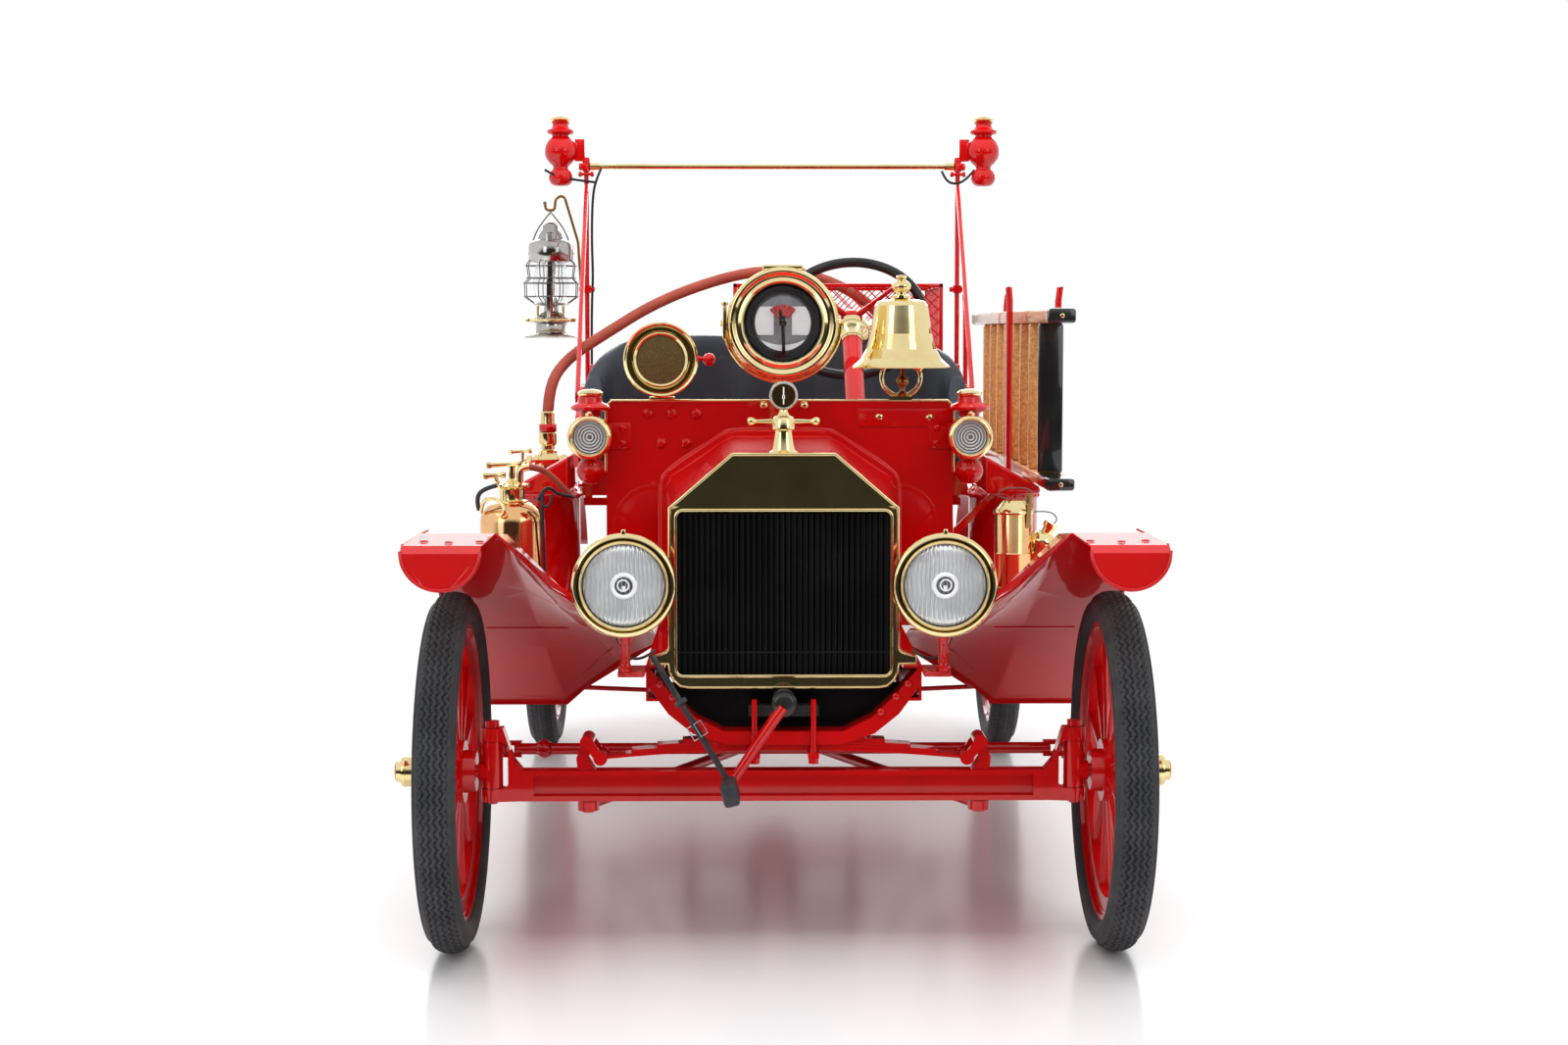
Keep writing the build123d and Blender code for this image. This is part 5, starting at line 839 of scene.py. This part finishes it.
def hornSet():
    x, y, z = horn["centre"]
    r = horn["radius"]
    mouth = lathe([(horn["mesh"], 0), (horn["mesh"] + 1, 5), (horn["mesh"] + 5, 8), (horn["mesh"] + 9, 5), (67, -2),
            (72, -6), (76, -2), (79, 3), (84, 5), (r, 2), (r, -3), (r - 9, -16), (r - 24, -36), (45, -66), (38, -96),
            (40, -102), (50, -108), (51, -186), (46, -196), (30, -202), (0, -203)], 80, (x, y, z), ahead)
    foot = plate((60, 26, 9), (x, 659, 1152.6), 2)
    leg = wire([(x, 659, 1154), (x, 659, z - 44)], 26, "POLY", sides=4)
    settle([mouth, foot, leg], "hornBrass", "brightBrass", 40)
    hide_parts("horn")
    mesh = lathe([(0, 4), (30, 3.4), (horn["mesh"] + 1, 1), (horn["mesh"] + 1, -2), (0, -2)], 48, (x, y, z), ahead)
    settle(mesh, "hornMesh", "hornGauze", 60)
    arm = wire(near((x, y, z), [(46, 150, 0), (74, 148, 4), (108, 146, -2)]), 11)
    knob = lathe([(0, -16), (8, -14), (14, -7), (16, 0), (14, 7), (8, 14), (0, 16)], 24, (x + 110, y + 146, z - 2),
            upright)
    settle([arm, knob], "hornCrank", "fireRed", 50)


def bellSet():
    x, y, z = bell["centre"]
    outer = [(114.5, 0), (116, 2), (113, 6), (104, 13), (94, 24), (84, 40), (76, 58), (70, 78), (66, 100), (63, 124),
            (61, 142), (58, 151), (50, 157), (38, 160), (15, 161), (15, 165), (22, 166), (22, 170), (12, 172),
            (11, 177), (17, 180), (23, 187), (23, 195), (17, 202), (10, 206), (11, 210), (13, 213), (10, 217),
            (0, 218)]
    inner = [(110, 0), (106, 7), (96, 16), (84, 32), (70, 60), (61, 96), (56, 140), (50, 150), (0, 153)]
    shell = lathe(list(reversed(inner)) + outer, 96, (x, y, z))
    settle(shell, "bellShell", "brightBrass", 60)


def bellClapper():
    x, y = bell["centre"][0] + 3, 655
    stem = lathe([(0, 1157), (12, 1157), (14, 1163), (8, 1167), (6, 1178), (12, 1184), (15, 1192), (12, 1201),
            (6, 1206), (6, 1232), (0, 1232)], 32, (x, y, 0))
    settle(stem, "bellClapper", "agedBrass", 60)


searchlightSet()
hornSet()
bellSet()
bellClapper()
print("stage: searchlight, horn and bell")


seat = {"half": 530, "wingY": 1405, "backY": 1700, "corner": 95, "low": 957, "thick": 66, "pleats": 7, "seam": 11,
        "cushion": ((-434, 1217, 852), (434, 1648, 957)), "cushionPleats": 5}
wheel = {"hub": (190, 1170.8, 1339.2), "lean": 39.5, "radius": 187, "rim": 25}


def seatPath(share):
    half, corner = seat["half"] - seat["thick"] / 2, seat["corner"]
    side = seat["backY"] - seat["wingY"] - corner
    bend = corner * math.pi / 2
    across = 2 * (half - corner)
    total = 2 * (side + bend) + across
    run = share * total
    sign = -1
    if run > total / 2:
        run, sign = total - run, 1
    if run < side:
        point, way = (half, seat["wingY"] + run), (1, 0)
    elif run < side + bend:
        angle = (run - side) / corner
        point = (half - corner + corner * math.cos(angle), seat["backY"] - corner + corner * math.sin(angle))
        way = (math.cos(angle), math.sin(angle))
    else:
        point, way = (half - corner - (run - side - bend), seat["backY"]), (0, 1)
    return (sign * point[0], point[1]), (sign * way[0], way[1]), min(run / (total / 2), 1)


def seatHeight(depth):
    stops = [(0, 1010), (0.15, 1104), (0.27, 1186), (0.36, 1244), (0.43, 1276), (0.49, 1292), (0.58, 1298), (1, 1300)]
    for (a, low), (b, high) in zip(stops, stops[1:]):
        if depth <= b:
            share = (depth - a) / (b - a)
            return low + (high - low) * share
    return stops[-1][1]


def seatBack():
    pick()
    columns, rows = 168, 36
    bpy.ops.mesh.primitive_grid_add(x_subdivisions=columns, y_subdivisions=rows, size=2)
    piece = bpy.context.object
    for vertex in piece.data.vertices:
        share, around = (vertex.co.x + 1) / 2, (vertex.co.y + 1) / 2 * math.tau
        (x, y), (nx, ny), depth = seatPath(share)
        high = seatHeight(depth)
        end = min(share, 1 - share) * 26
        puff = math.sqrt(max(1 - max(1 - end, 0) ** 2, 0.0004))
        pleat = abs(math.sin(share * math.pi * seat["pleats"])) ** 0.45
        side, up = math.cos(around), math.sin(around)
        out = math.copysign(abs(side) ** 0.5, side) * seat["thick"] / 2 * puff
        if out < 0:
            out += seat["seam"] * (1 - pleat)
        level = (seat["low"] + high) / 2 + math.copysign(abs(up) ** 0.5, up) * (high - seat["low"]) / 2
        if up > 0:
            level -= seat["seam"] * 0.7 * (1 - pleat)
        vertex.co = spot(x + nx * out, y + ny * out, level)
    merged(piece, closing=bpy.ops.mesh.edge_face_add)
    settle(piece, "seatBackPad", "blackLeather", 50)
    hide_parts("seat_back")
    brace = 1746
    shell = plate((1040, 10, 262), (0, brace, 1086), 4)
    settle(shell, "seatBackBoard", "fireRed")


def seatCushion():
    low, high = (Vector(corner) for corner in seat["cushion"])
    middle, half, round = (low + high) / 2, (high - low) / 2, 26
    pick()
    bpy.ops.mesh.primitive_cube_add(size=2)
    piece = bpy.context.object
    bpy.ops.object.mode_set(mode="EDIT")
    bpy.ops.mesh.select_all(action="SELECT")
    bpy.ops.mesh.subdivide(number_cuts=60)
    bpy.ops.object.mode_set(mode="OBJECT")
    width = 2 * half.x / seat["cushionPleats"]
    for vertex in piece.data.vertices:
        place = Vector([vertex.co[i] * half[i] for i in range(3)])
        inner = Vector([max(-half[i] + round, min(half[i] - round, place[i])) for i in range(3)])
        push = place - inner
        if push.length > 0:
            place = inner + push.normalized() * round
        share = (place.x + half.x) / width % 1
        pleat = abs(math.sin(share * math.pi)) ** 0.4
        if place.z > 0 or place.y < -half.y + 4:
            place.z -= seat["seam"] * (1 - pleat) * max(place.z / half.z, 0)
            place.y += seat["seam"] * (1 - pleat) * max(-place.y / half.y, 0) ** 8
        vertex.co = spot(*(place + middle))
    settle(piece, "seatCushionPad", "blackLeather", 60)
    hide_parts("seat_cushion")


def steeringSet():
    lean = math.radians(wheel["lean"])
    axis = Vector((0, math.cos(lean), math.sin(lean)))
    hub = spot(*wheel["hub"])
    rim = ringAt(hub, axis, wheel["radius"], wheel["rim"], 96, 20)
    settle(rim, "steeringRim", "blackRubber", 60, body="steering_wheel")
    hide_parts("steering_wheel")
    across = Vector((1, 0, 0))
    upward = axis.cross(across)
    arms = []
    for index in range(4):
        angle = math.radians(45 + 90 * index)
        way = across * math.cos(angle) + upward * math.sin(angle)
        arm = lathe([(0, 10), (12, 10), (11, 30), (8, 70), (6.5, 120), (7, 160), (11, 176), (11, 182), (0, 182)], 16,
                Vector())
        arm.scale = (1.25, 0.75, 1)
        arms.append(aim(bake(arm), hub, way))
    boss = lathe([(0, -14), (24, -14), (30, -8), (31, 2), (26, 10), (14, 16), (13, 22), (0, 22)], 32, hub, axis)
    settle(arms + [boss], "steeringSpider", "fireRed", 50, body="steering_wheel")
    nut = lathe([(0, 20), (11, 20), (11, 30), (8, 34), (0, 35)], 6, hub, axis)
    settle(nut, "steeringNut", "brightBrass", 30, body="steering_wheel")
    top = hub - axis * 27 * mm
    case = lathe([(0, 0), (30, 0), (44, -6), (47, -10), (47, -22), (46, -32), (40, -38), (30, -50), (27, -56),
            (27, -64), (0, -64)], 48, top, axis)
    settle(case, "steeringCase", "brightBrass", 40)


seatBack()
seatCushion()
steeringSet()
print("stage: seat and steering")


basket = {"x": (-120, 500), "y": (2100, 2700), "z": (900, 1450), "bar": 12, "mesh": 26, "wire": 3}
post = {"x": 583, "y": 2600, "lampX": 663, "lampZ": 1763, "railZ": 1824}
lantern = {"centre": (-696, 2600, 1288), "hoops": [(86, 130), (88, 172), (78, 188), (81, 226)], "guard": [(56, 108),
        (86, 128), (88, 172), (74, 186), (80, 230), (70, 244)]}


def diamondRuns(width, height, place):
    runs = []
    step = basket["mesh"] * math.sqrt(2)
    for index in range(1, int((width + height) / step)):
        reach = index * step
        low = (min(reach, width), max(reach - width, 0))
        high = (max(reach - height, 0), min(reach, height))
        runs.append([place(*low, 0), place(*high, 0)])
        runs.append([place(width - low[0], low[1], 1), place(width - high[0], high[1], 1)])
    return runs


def basketSet():
    x0, x1 = basket["x"]
    y0, y1 = basket["y"]
    z0, z1 = basket["z"]
    bar = basket["bar"]
    bars = []
    for z in (z0 + bar / 2, z1 - bar / 2):
        bars += [plate((x1 - x0, bar, bar), ((x0 + x1) / 2, y, z), 2) for y in (y0 + bar / 2, y1 - bar / 2)]
        bars += [plate((bar, y1 - y0, bar), (x, (y0 + y1) / 2, z), 2) for x in (x0 + bar / 2, x1 - bar / 2)]
    bars += [plate((bar, bar, z1 - z0), (x, y, (z0 + z1) / 2), 2) for x in (x0 + bar / 2, x1 - bar / 2)
            for y in (y0 + bar / 2, y1 - bar / 2)]
    bars.append(plate((x1 - x0 - 8, y1 - y0 - 8, 4), ((x0 + x1) / 2, (y0 + y1) / 2, z0 + 3), 0.5))
    settle(bars, "basketFrame", "fireRed", 30)
    runs = []
    gap = basket["wire"] * 0.45
    for x in (x0 + bar / 2, x1 - bar / 2):
        runs += diamondRuns(y1 - y0 - bar, z1 - z0 - bar, lambda u, v, k:
                (x + gap * (1 - 2 * k), y0 + bar / 2 + u, z0 + bar / 2 + v))
    for y in (y0 + bar / 2, y1 - bar / 2):
        runs += diamondRuns(x1 - x0 - bar, z1 - z0 - bar, lambda u, v, k:
                (x0 + bar / 2 + u, y + gap * (1 - 2 * k), z0 + bar / 2 + v))
    settle(wires(runs, basket["wire"], "POLY", sides=0), "basketMesh", "fireRed", 30)
    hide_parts("hose_basket")


def postLampSet():
    x, y, z = post["lampX"], post["y"], post["lampZ"]
    body = lathe([(0, 0), (22, 1), (32, 8), (38, 20), (39, 32), (35, 44), (27, 52), (24, 58), (26, 64), (36, 72),
            (46, 86), (50, 100), (51, 112), (49, 124), (43, 138), (34, 149), (27, 154), (27, 158), (38, 162),
            (44, 167), (43, 174), (36, 178), (28, 184), (26, 192), (30, 198), (0, 199)], 48, (x, y, z))
    boss = studs([(x, y - 50, z + 112)], ahead, 7, 4, dome=True)
    plateUp = plate((32, 12, 70), (x - 60, y, z + 112), 3)
    link = plate((34, 8, 20), (x - 40, y, z + 96), 3)
    grip = plate((26, 32, 22), (x - 70, y, z + 60), 4)
    settle([body, boss, plateUp, link, grip], "postLampBodies", "fireRed", 45, both=True)
    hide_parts("post_lamps")
    cap = lathe([(0, 196), (24, 196), (29, 203), (33, 206), (32, 211), (24, 215), (10, 220), (0, 222)], 40, (x, y, z))
    settle(cap, "postLampCaps", "brightBrass", 45, both=True)


def postWires():
    x, y, z = post["x"], post["y"], post["railZ"]
    long = wire([(-x + 46, y - 6, z - 8), (-x + 32, y - 14, z - 40), (-x + 20, y - 14, z - 90), (-x + 16, y - 12, 1600),
            (-x + 20, y - 12, 1480), (-x + 15, y - 12, 1390), (-x + 14, y - 12, 1200), (-x + 14, y - 12, 800)], 8)
    lead = wire([(-x - 128, y - 40, 1812), (-x - 96, y - 30, 1792), (-x - 40, y - 20, 1782), (-x + 30, y - 16, 1774)],
            8)
    loop = wire(near((x, y, z), [(-50, -6, -14), (-40, -16, -42), (-12, -18, -56), (24, -18, -44), (52, -10, -10)]), 8)
    settle([long, lead, loop], "lampLeads", "blackRubber", 60)
    knobs = [lathe([(0, -26), (8, -24), (9, -16), (5, -13), (5, 13), (9, 16), (8, 24), (0, 26)], 16,
            (side * x, y - 8, level), (1, 0, 0)) for side in (-1, 1) for level in (1441, z - 24)]
    caps = [lathe([(0, 0), (11, 1), (12, 8), (9, 14), (0, 16)], 20, (side * x, y, 1839), upright) for side in (-1, 1)]
    settle(knobs + caps, "postKnobs", "fireRed", 45)


def lanternSet():
    x, y, z = lantern["centre"]
    base = lathe([(0, 0), (84, 0), (88, 3), (86, 7), (62, 13), (50, 22), (48, 44), (54, 48), (54, 66), (48, 70),
            (40, 78), (24, 84), (22, 100), (54, 103), (57, 107), (54, 111), (22, 113), (20, 126), (13, 132),
            (12, 236), (0, 236)], 56, (x, y, z))
    hood = lathe([(0, 234), (44, 234), (66, 238), (70, 243), (70, 294), (65, 301), (42, 309), (36, 328), (27, 337),
            (25, 352), (15, 362), (0, 364)], 56, (x, y, z))
    guards = []
    for index in range(8):
        angle = math.tau * (index + 0.5) / 8
        guards.append(wire([(x + radius * math.cos(angle), y + radius * math.sin(angle), z + height) for radius,
                height in lantern["guard"]], 3.4, "POLY"))
    hoops = [ringAt((x, y, z + height), upright, radius, 3.4, 40, 6) for radius, height in lantern["hoops"]]
    strips = [plate((20, 3, 270), (x, y + side * 60, z + 196), 1) for side in (-1, 1)]
    feet = [plate((22, 26, 3), (x, y + side * 50, z + 328), 1) for side in (-1, 1)]
    bail = [wire([(x + side * 70, y, z + 262), (x + side * 50, y, z + 330), (x + side * 14, y, z + 378),
            (x, y, z + 394)], 4.5) for side in (-1, 1)]
    settle(guards + hoops + bail, "lanternGuards", "dullSteel", 50)
    settle([base, hood] + strips + feet, "lanternPlated", "nickelPlate", 50)
    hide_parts("hanging_lantern")
    globe = lathe([(36, 112), (46, 124), (55, 150), (57, 172), (52, 202), (44, 236), (42, 236), (50, 202), (55, 172),
            (53, 150), (44, 124), (34, 112)], 48, (x, y, z))
    settle(globe, "lanternGlobe", "lampGlass", 60)
    band = [ringAt((x, y, z + 56), upright, 72, 9, 56, 10)]
    band += [plate((34, 7, 12), (x + side * 62, y - 34, z + 56), 2) for side in (-1, 1)]
    band += [wire([(x + side * 40, y - 30, z + 60), (x + side * 40, y - 30, z + 100)], 9, "POLY") for side in (-1, 1)]
    settle(band, "lanternBand", "brightBrass", 50)


basketSet()
postLampSet()
postWires()
lanternSet()
print("stage: basket, posts and lantern")


ladder = {"x": (665, 735), "y": (900, 3000), "upper": (1330, 1368), "lower": (915, 947), "rungs": 8, "first": 220,
        "pitch": 210, "rung": 26, "tip": 62}
tank = {"x": 655, "y": 1850, "radius": 98, "shoulder": 860}
copperCan = {"x": -644, "y": 750, "radius": 78, "low": 437}
smallCan = {"x": 572, "y": 800, "radius": 46, "low": 437}


def ladderSet():
    x0, x1 = ladder["x"]
    y0, y1 = ladder["y"]
    middle = (x0 + x1) / 2
    wood, black = [], []
    for (low, high), front in ((ladder["upper"], ladder["tip"]), (ladder["lower"], ladder["first"] - 5)):
        wood.append(plate((x1 - x0 - 4, y1 - y0 - 8, high - low - 3), (middle, (y0 + y1) / 2, (low + high) / 2), 5))
        for y, long in ((y0 + front / 2, front), (y1 - ladder["tip"] / 2, ladder["tip"])):
            black.append(plate((x1 - x0, long, high - low), (middle, y, (low + high) / 2), 8))
    tall = ladder["upper"][0] - ladder["lower"][1] + 2
    level = (ladder["upper"][0] + ladder["lower"][1]) / 2
    for index in range(ladder["rungs"]):
        y = y0 + ladder["first"] + index * ladder["pitch"] + ladder["rung"] / 2
        board = plate((x1 - x0 - 6, ladder["rung"], tall), (middle, y, level), 7)
        (black if index == 0 else wood).append(board)
    settle(wood, "ladderWood", "varnishedOak")
    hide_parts("ladder")
    settle(black, "ladderEnds", "glossBlack")
    screws = studs([(middle, y0 + 0.5, (low + high) / 2) for low, high in (ladder["upper"], ladder["lower"])], ahead, 6,
            2, dome=True)
    settle(screws, "ladderScrews", "brightBrass")


def tankSet():
    r = tank["radius"]
    rivet = lathe([(0, -2), (6, -2), (5.5, 1.5), (3.5, 3.5), (0, 4.2)], 8)
    heads = []
    for side in (-1, 1):
        for index in range(24):
            out = Vector((math.cos(math.tau * index / 24), math.sin(math.tau * index / 24), 0.3))
            for radius, level in ((r + 3, tank["shoulder"] - 16), (r - 12, tank["shoulder"] + 14)):
                place = (side * tank["x"] + radius * out.x, tank["y"] + radius * out.y, level)
                heads.append(aim(copyOf(rivet), place, out))
    bpy.data.objects.remove(rivet)
    settle(heads, "tankRivets", "fireRed", 50)
    x, y = -648, 1850
    body = lathe([(0, 900), (26, 900), (26, 966), (27, 970), (20, 974), (19.6, 984), (24, 988), (25.6, 994),
            (25.6, 1020), (22, 1024), (20, 1028), (20, 1078), (17, 1082), (0, 1082)], 40, (x, y, 0))
    steps = [(0, -64), (13, -64), (15, -60), (15, -50), (9, -48), (9, -42), (16, -41), (16, -30), (12, -29), (12, -22),
            (19, -20), (20, 20), (16, 24), (10, 25), (10, 34), (15, 36), (15, 46), (9, 50), (8, 58), (0, 58)]
    branch = lathe(steps, 6, (x + 6, y - 24, 946), (1, 0, 0.03))
    stem = wire([(x - 70, y - 26, 912), (x - 70, y - 26, 968)], 9, "POLY", sides=4)
    elbow = wire([(x - 50, y - 24, 944), (x - 72, y - 26, 936), (x - 72, y - 26, 916)], 15)
    bar = lathe([(0, -34), (7, -32), (8, -25), (5, -20), (4.5, 0), (5, 20), (8, 25), (7, 32), (0, 34)], 16,
            (x - 76, y - 26, 969), (1, 0, 0.05))
    settle([body, branch, stem, elbow, bar], "tankValve", "brightBrass")


def copperCanSet():
    x, y, r, low = copperCan["x"], copperCan["y"], copperCan["radius"], copperCan["low"]
    can = lathe([(0, 0), (r, 0), (r, 418), (r - 3, 432), (r - 10, 444), (r - 20, 454), (r - 32, 461), (38, 464),
            (36, 468), (0, 470)], 64, (x, y, low))
    settle(can, "copperCan", "polishedCopper", 40)
    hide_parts("extinguisher")
    neck = lathe([(0, 462), (38, 462), (39, 467), (31, 470), (30, 476), (31, 494), (40, 499), (44, 503), (43, 507),
            (24, 511), (13, 516), (8, 520), (8, 556), (0, 556)], 48, (x, y, low))
    bars = []
    for dx, level, reach, tilt in ((-19, 554, 43, 0.04), (-42, 528, 28, 0.06)):
        bars.append(lathe([(0, -reach), (8, -reach + 2), (9, -reach + 9), (6, -reach + 15), (5.5, 0), (6, reach - 15),
                (9, reach - 9), (8, reach - 2), (0, reach)], 16, (x + dx, y - 4, low + level), (1, 0, tilt)))
    spout = wire(near((x, y, low), [(19, -6, 506), (19, -6, 538), (26, -6, 546), (44, -8, 548)]), 17)
    post = wire(near((x, y, low), [(-26, 4, 505), (-40, 0, 512), (-42, 0, 530)]), 11)
    hooks = [wire(near((x, y, low), [(-72, -30, 440), (-66, -50, 470), (-44, -68, 478), (-22, -78, 472), (-8, -88, 452),
            (-14, -88, 436), (-30, -84, 440)]), 9)]
    settle([neck] + bars + [spout, post] + hooks, "copperCanFittings", "brightBrass", 45)
    tube = wire(near((x, y, low), [(40, -8, 548), (66, -6, 546), (96, 0, 526), (124, 6, 494), (148, 10, 472)]), 16)
    settle(tube, "copperCanTube", "hoseRubber", 60)
    strap = [wire(near((x, y, low), [(66, -50, 470), (80, -44, 500), (98, -30, 498), (112, -20, 482), (146, 0, 476)]),
            9), wire(near((x, y, low), [(-78, -20, 446), (-84, -30, 474), (-66, -36, 498), (-32, -40, 506)]), 11),
            wire(near((x, y, low), [(78, -46, 494), (76, -52, 440), (80, -30, 300), (80, -10, 90)]), 8), wire(near(
            (x, y, low), [(78, -46, 492), (74, -52, 470), (84, -54, 452), (96, -50, 462), (100, -44, 486)]), 6)]
    ring = ringAt((x, y, low + 120), upright, r + 2, 8, 56, 8)
    settle(strap + [ring], "copperCanStrap", "blackLeather", 60)


def smallCanSet():
    x, y, r, low = smallCan["x"], smallCan["y"], smallCan["radius"], smallCan["low"]
    can = lathe([(0, 0), (r, 0), (r + 2, 4), (r, 10), (r, 330), (r + 2, 334), (r, 338), (r, 432), (r - 2, 436),
            (0, 436)], 56, (x, y, low))
    settle(can, "smallCan", "polishedCopper")
    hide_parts("brass_canisters")
    lid = lathe([(0, 430), (r + 1, 430), (r + 4, 434), (r + 3, 440), (r - 5, 446), (r - 16, 460), (r - 18, 463),
            (0, 465)], 56, (x, y, low))
    loop = wire(near((x, y, low), [(-10, -8, 466), (-36, -12, 470), (-42, -14, 484), (-20, -14, 494), (30, -14, 494),
            (46, -10, 482), (40, -8, 462)]), 3)
    side = wire(near((x, y, low), [(40, 0, 434), (80, -6, 438), (104, -8, 426), (104, -8, 406), (80, -6, 400)]), 3)
    settle([loop, side], "smallCanLoops", "dullSteel", 60)
    flask = lathe([(0, -64), (25, -62), (27, -56), (27, 10), (33, 16), (34, 30), (26, 44), (14, 50), (14, 62), (18, 66),
            (18, 76), (0, 78)], 40, (x + 62, y + 8, low + 338), (0.45, -0.1, 1))
    stand = wire([(x + 66, y + 14, low + 4), (x + 66, y + 14, low + 290)], 40, "POLY", sides=8)
    settle([lid, flask, stand], "smallCanBrass", "brightBrass", 45)
    belt = [plate((14, 5, 84), (x + 32, y - 38, low + 440), 1, (0.1, 0, 0.5)), plate((20, 6, 12),
            (x + 33, y - 41, low + 452), 2, (0, 0, 0.5)), ringAt((x, y, low + 250), upright, r + 2, 7, 48, 8)]
    settle(belt, "smallCanStrap", "agedBrass", 50)


ladderSet()
tankSet()
copperCanSet()
smallCanSet()
print("stage: ladder, tanks and cans")


crank = {"hub": (0, -80, 536), "grip": (-112, -80, 367), "strapTop": (-269, -50, 622)}
fender = {"middle": 678.5, "half": 78.5, "shoulder": 879, "drop": 76}


def crankSet():
    top, grip = Vector(crank["strapTop"]), Vector(crank["grip"]) + Vector((-10, -44, 24))
    run = grip - top
    band = aim(plate((22, 4, run.length + 30), Vector(), 1), spot(*(top + grip) / 2), run)
    boot = plate((34, 98, 48), (-112, -160, 366), 8, (0, math.radians(-14), 0))
    keeper = lathe([(0, -5), (16, -5), (16, 5), (0, 5)], 4, spot(*(top + run * 0.36)), run.normalized())
    settle([band, boot, keeper], "crankStrap", "blackLeather", 40)
    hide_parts("crank_strap")
    way = run.normalized()
    side = way.cross(Vector((0, 1, 0))).normalized()
    centre = top + run * 0.60 + Vector((0, -5, 0))
    frame = [centre + way * a * 15 + side * b * 16 for a, b in ((-1, -1), (1, -1), (1, 1), (-1, 1))]
    buckle = wire([spot(*point) for point in frame], 4, "POLY", True)
    tongue = wire([spot(*(centre - way * 15)), spot(*(centre + way * 15))], 3, "POLY")
    settle([buckle, tongue], "crankBuckle", "nickelPlate", 50)
    grommet = lathe([(23, 0), (26, 3), (27, 9), (23, 15), (14, 17), (0, 17), (0, 13), (23, 13)], 32, crank["hub"],
            ahead)
    settle(grommet, "crankGrommet", "blackRubber", 50)
    arm = wire([(-2, -93, 531), (-8, -93, 522), (-60, -84, 446)], 22, sides=6)
    settle(arm, "crankArmEnd", "fireRed", 60)
    pan = wedge([(-176, 464), (-256, 566), (176, 464), (256, 566)], 30, 36)
    settle(pan, "radiatorPan", "blackEnamel", 30)


def noseY(level):
    stops = [(891, -338), (877, -360), (800, -374)]
    for (high, a), (low, b) in zip(stops, stops[1:]):
        if level >= low:
            return a + (b - a) * (high - level) / (high - low)
    return stops[-1][1]


def fenderBeads():
    points = []
    for index in range(17):
        angle = math.pi * index / 16
        level = fender["shoulder"] - fender["drop"] * math.sin(angle)
        points.append((fender["middle"] + fender["half"] * math.cos(angle), noseY(level) - 1, level + 2))
    bead = wire(points, 7)
    rim = wire([(757, -320, 890), (757, 0, 890), (757, 60, 889)], 6)
    bolts = studs([(x, y, 892.5) for x, y in ((610, -270), (670, -286), (722, -262))], upright, 9, 4, dome=True)
    settle([bead, rim, bolts], "fenderBeads", "fireRed", 50, both=True)


def smoothedSheets():
    sheets = [("front_fender_left", "fenderSheetLeft", "red_paint", "fireRed", 10),
            ("front_fender_right", "fenderSheetRight", "red_paint", "fireRed", 10),
            ("searchlight", "searchlightDrum", "brass", "brightBrass", 55),
            ("lamp_bodies", "lampBodies", "red_paint", "fireRed", 55),
            ("chemical_tanks", "tankShells", "red_paint", "fireRed", 45),
            ("rear_fenders", "rearFenderSheets", "red_paint", "fireRed", 40)]
    for node, name, slot, finish, smooth in sheets:
        twin = dressedCopy(node)
        settle(twin, name, finish, smooth)
        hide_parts(node)


def apronSeams():
    seams = [[(482, 641), (530, 641), (578, 641), (626, 641), (668, 641)], [(390, 572), (414, 553), (441, 527),
            (468, 500)]]
    beads = []
    for side, name in ((-1, "fenderSheetRight"), (1, "fenderSheetLeft")):
        for seam in seams:
            line = []
            for x, z in seam:                          # each point is dropped onto the sheet from the front
                met, place = bpy.data.objects[name].ray_cast(spot(side * x, -500, z), (0, 1, 0))[:2]
                if met:
                    line.append(place - Vector((0, 0.4 * mm, 0)))
            beads.append(wire(line, 3.2, "POLY"))
    settle(beads, "apronSeams", "fireRed", 60)


def bracketBeads():
    beads = []
    for y in (1486, 2836):
        line = [(629, 1428), (632, 1391), (632, 906), (764, 906), (764, 1391), (768, 1428)]
        beads.append(wire([(x, y + 2, z) for x, z in line], 18, "POLY", sides=5))
    settle(beads, "bracketBeads", "fireRed", 60)


def seatSkirts():
    skirt = wedge([(546, 886), (546, 984), (690, 886), (690, 903)], 1240, 1690)
    modified(skirt, "BEVEL", width=10 * mm, segments=4)
    settle(skirt, "seatSkirts", "fireRed", 40, both=True)


def frameRivets():
    places = [(x, z) for side in (-1, 1) for x, z in ((side * 236, 545), (side * 204, 512), (side * 262, 572))]
    heads = studs([(x, -39, z) for x, z in places], ahead, 8, 4, dome=True)
    settle(heads, "memberRivets", "fireRed", 50)


crankSet()
smoothedSheets()
apronSeams()
fenderBeads()
bracketBeads()
seatSkirts()
frameRivets()
print("stage: crank, fenders and rivets")
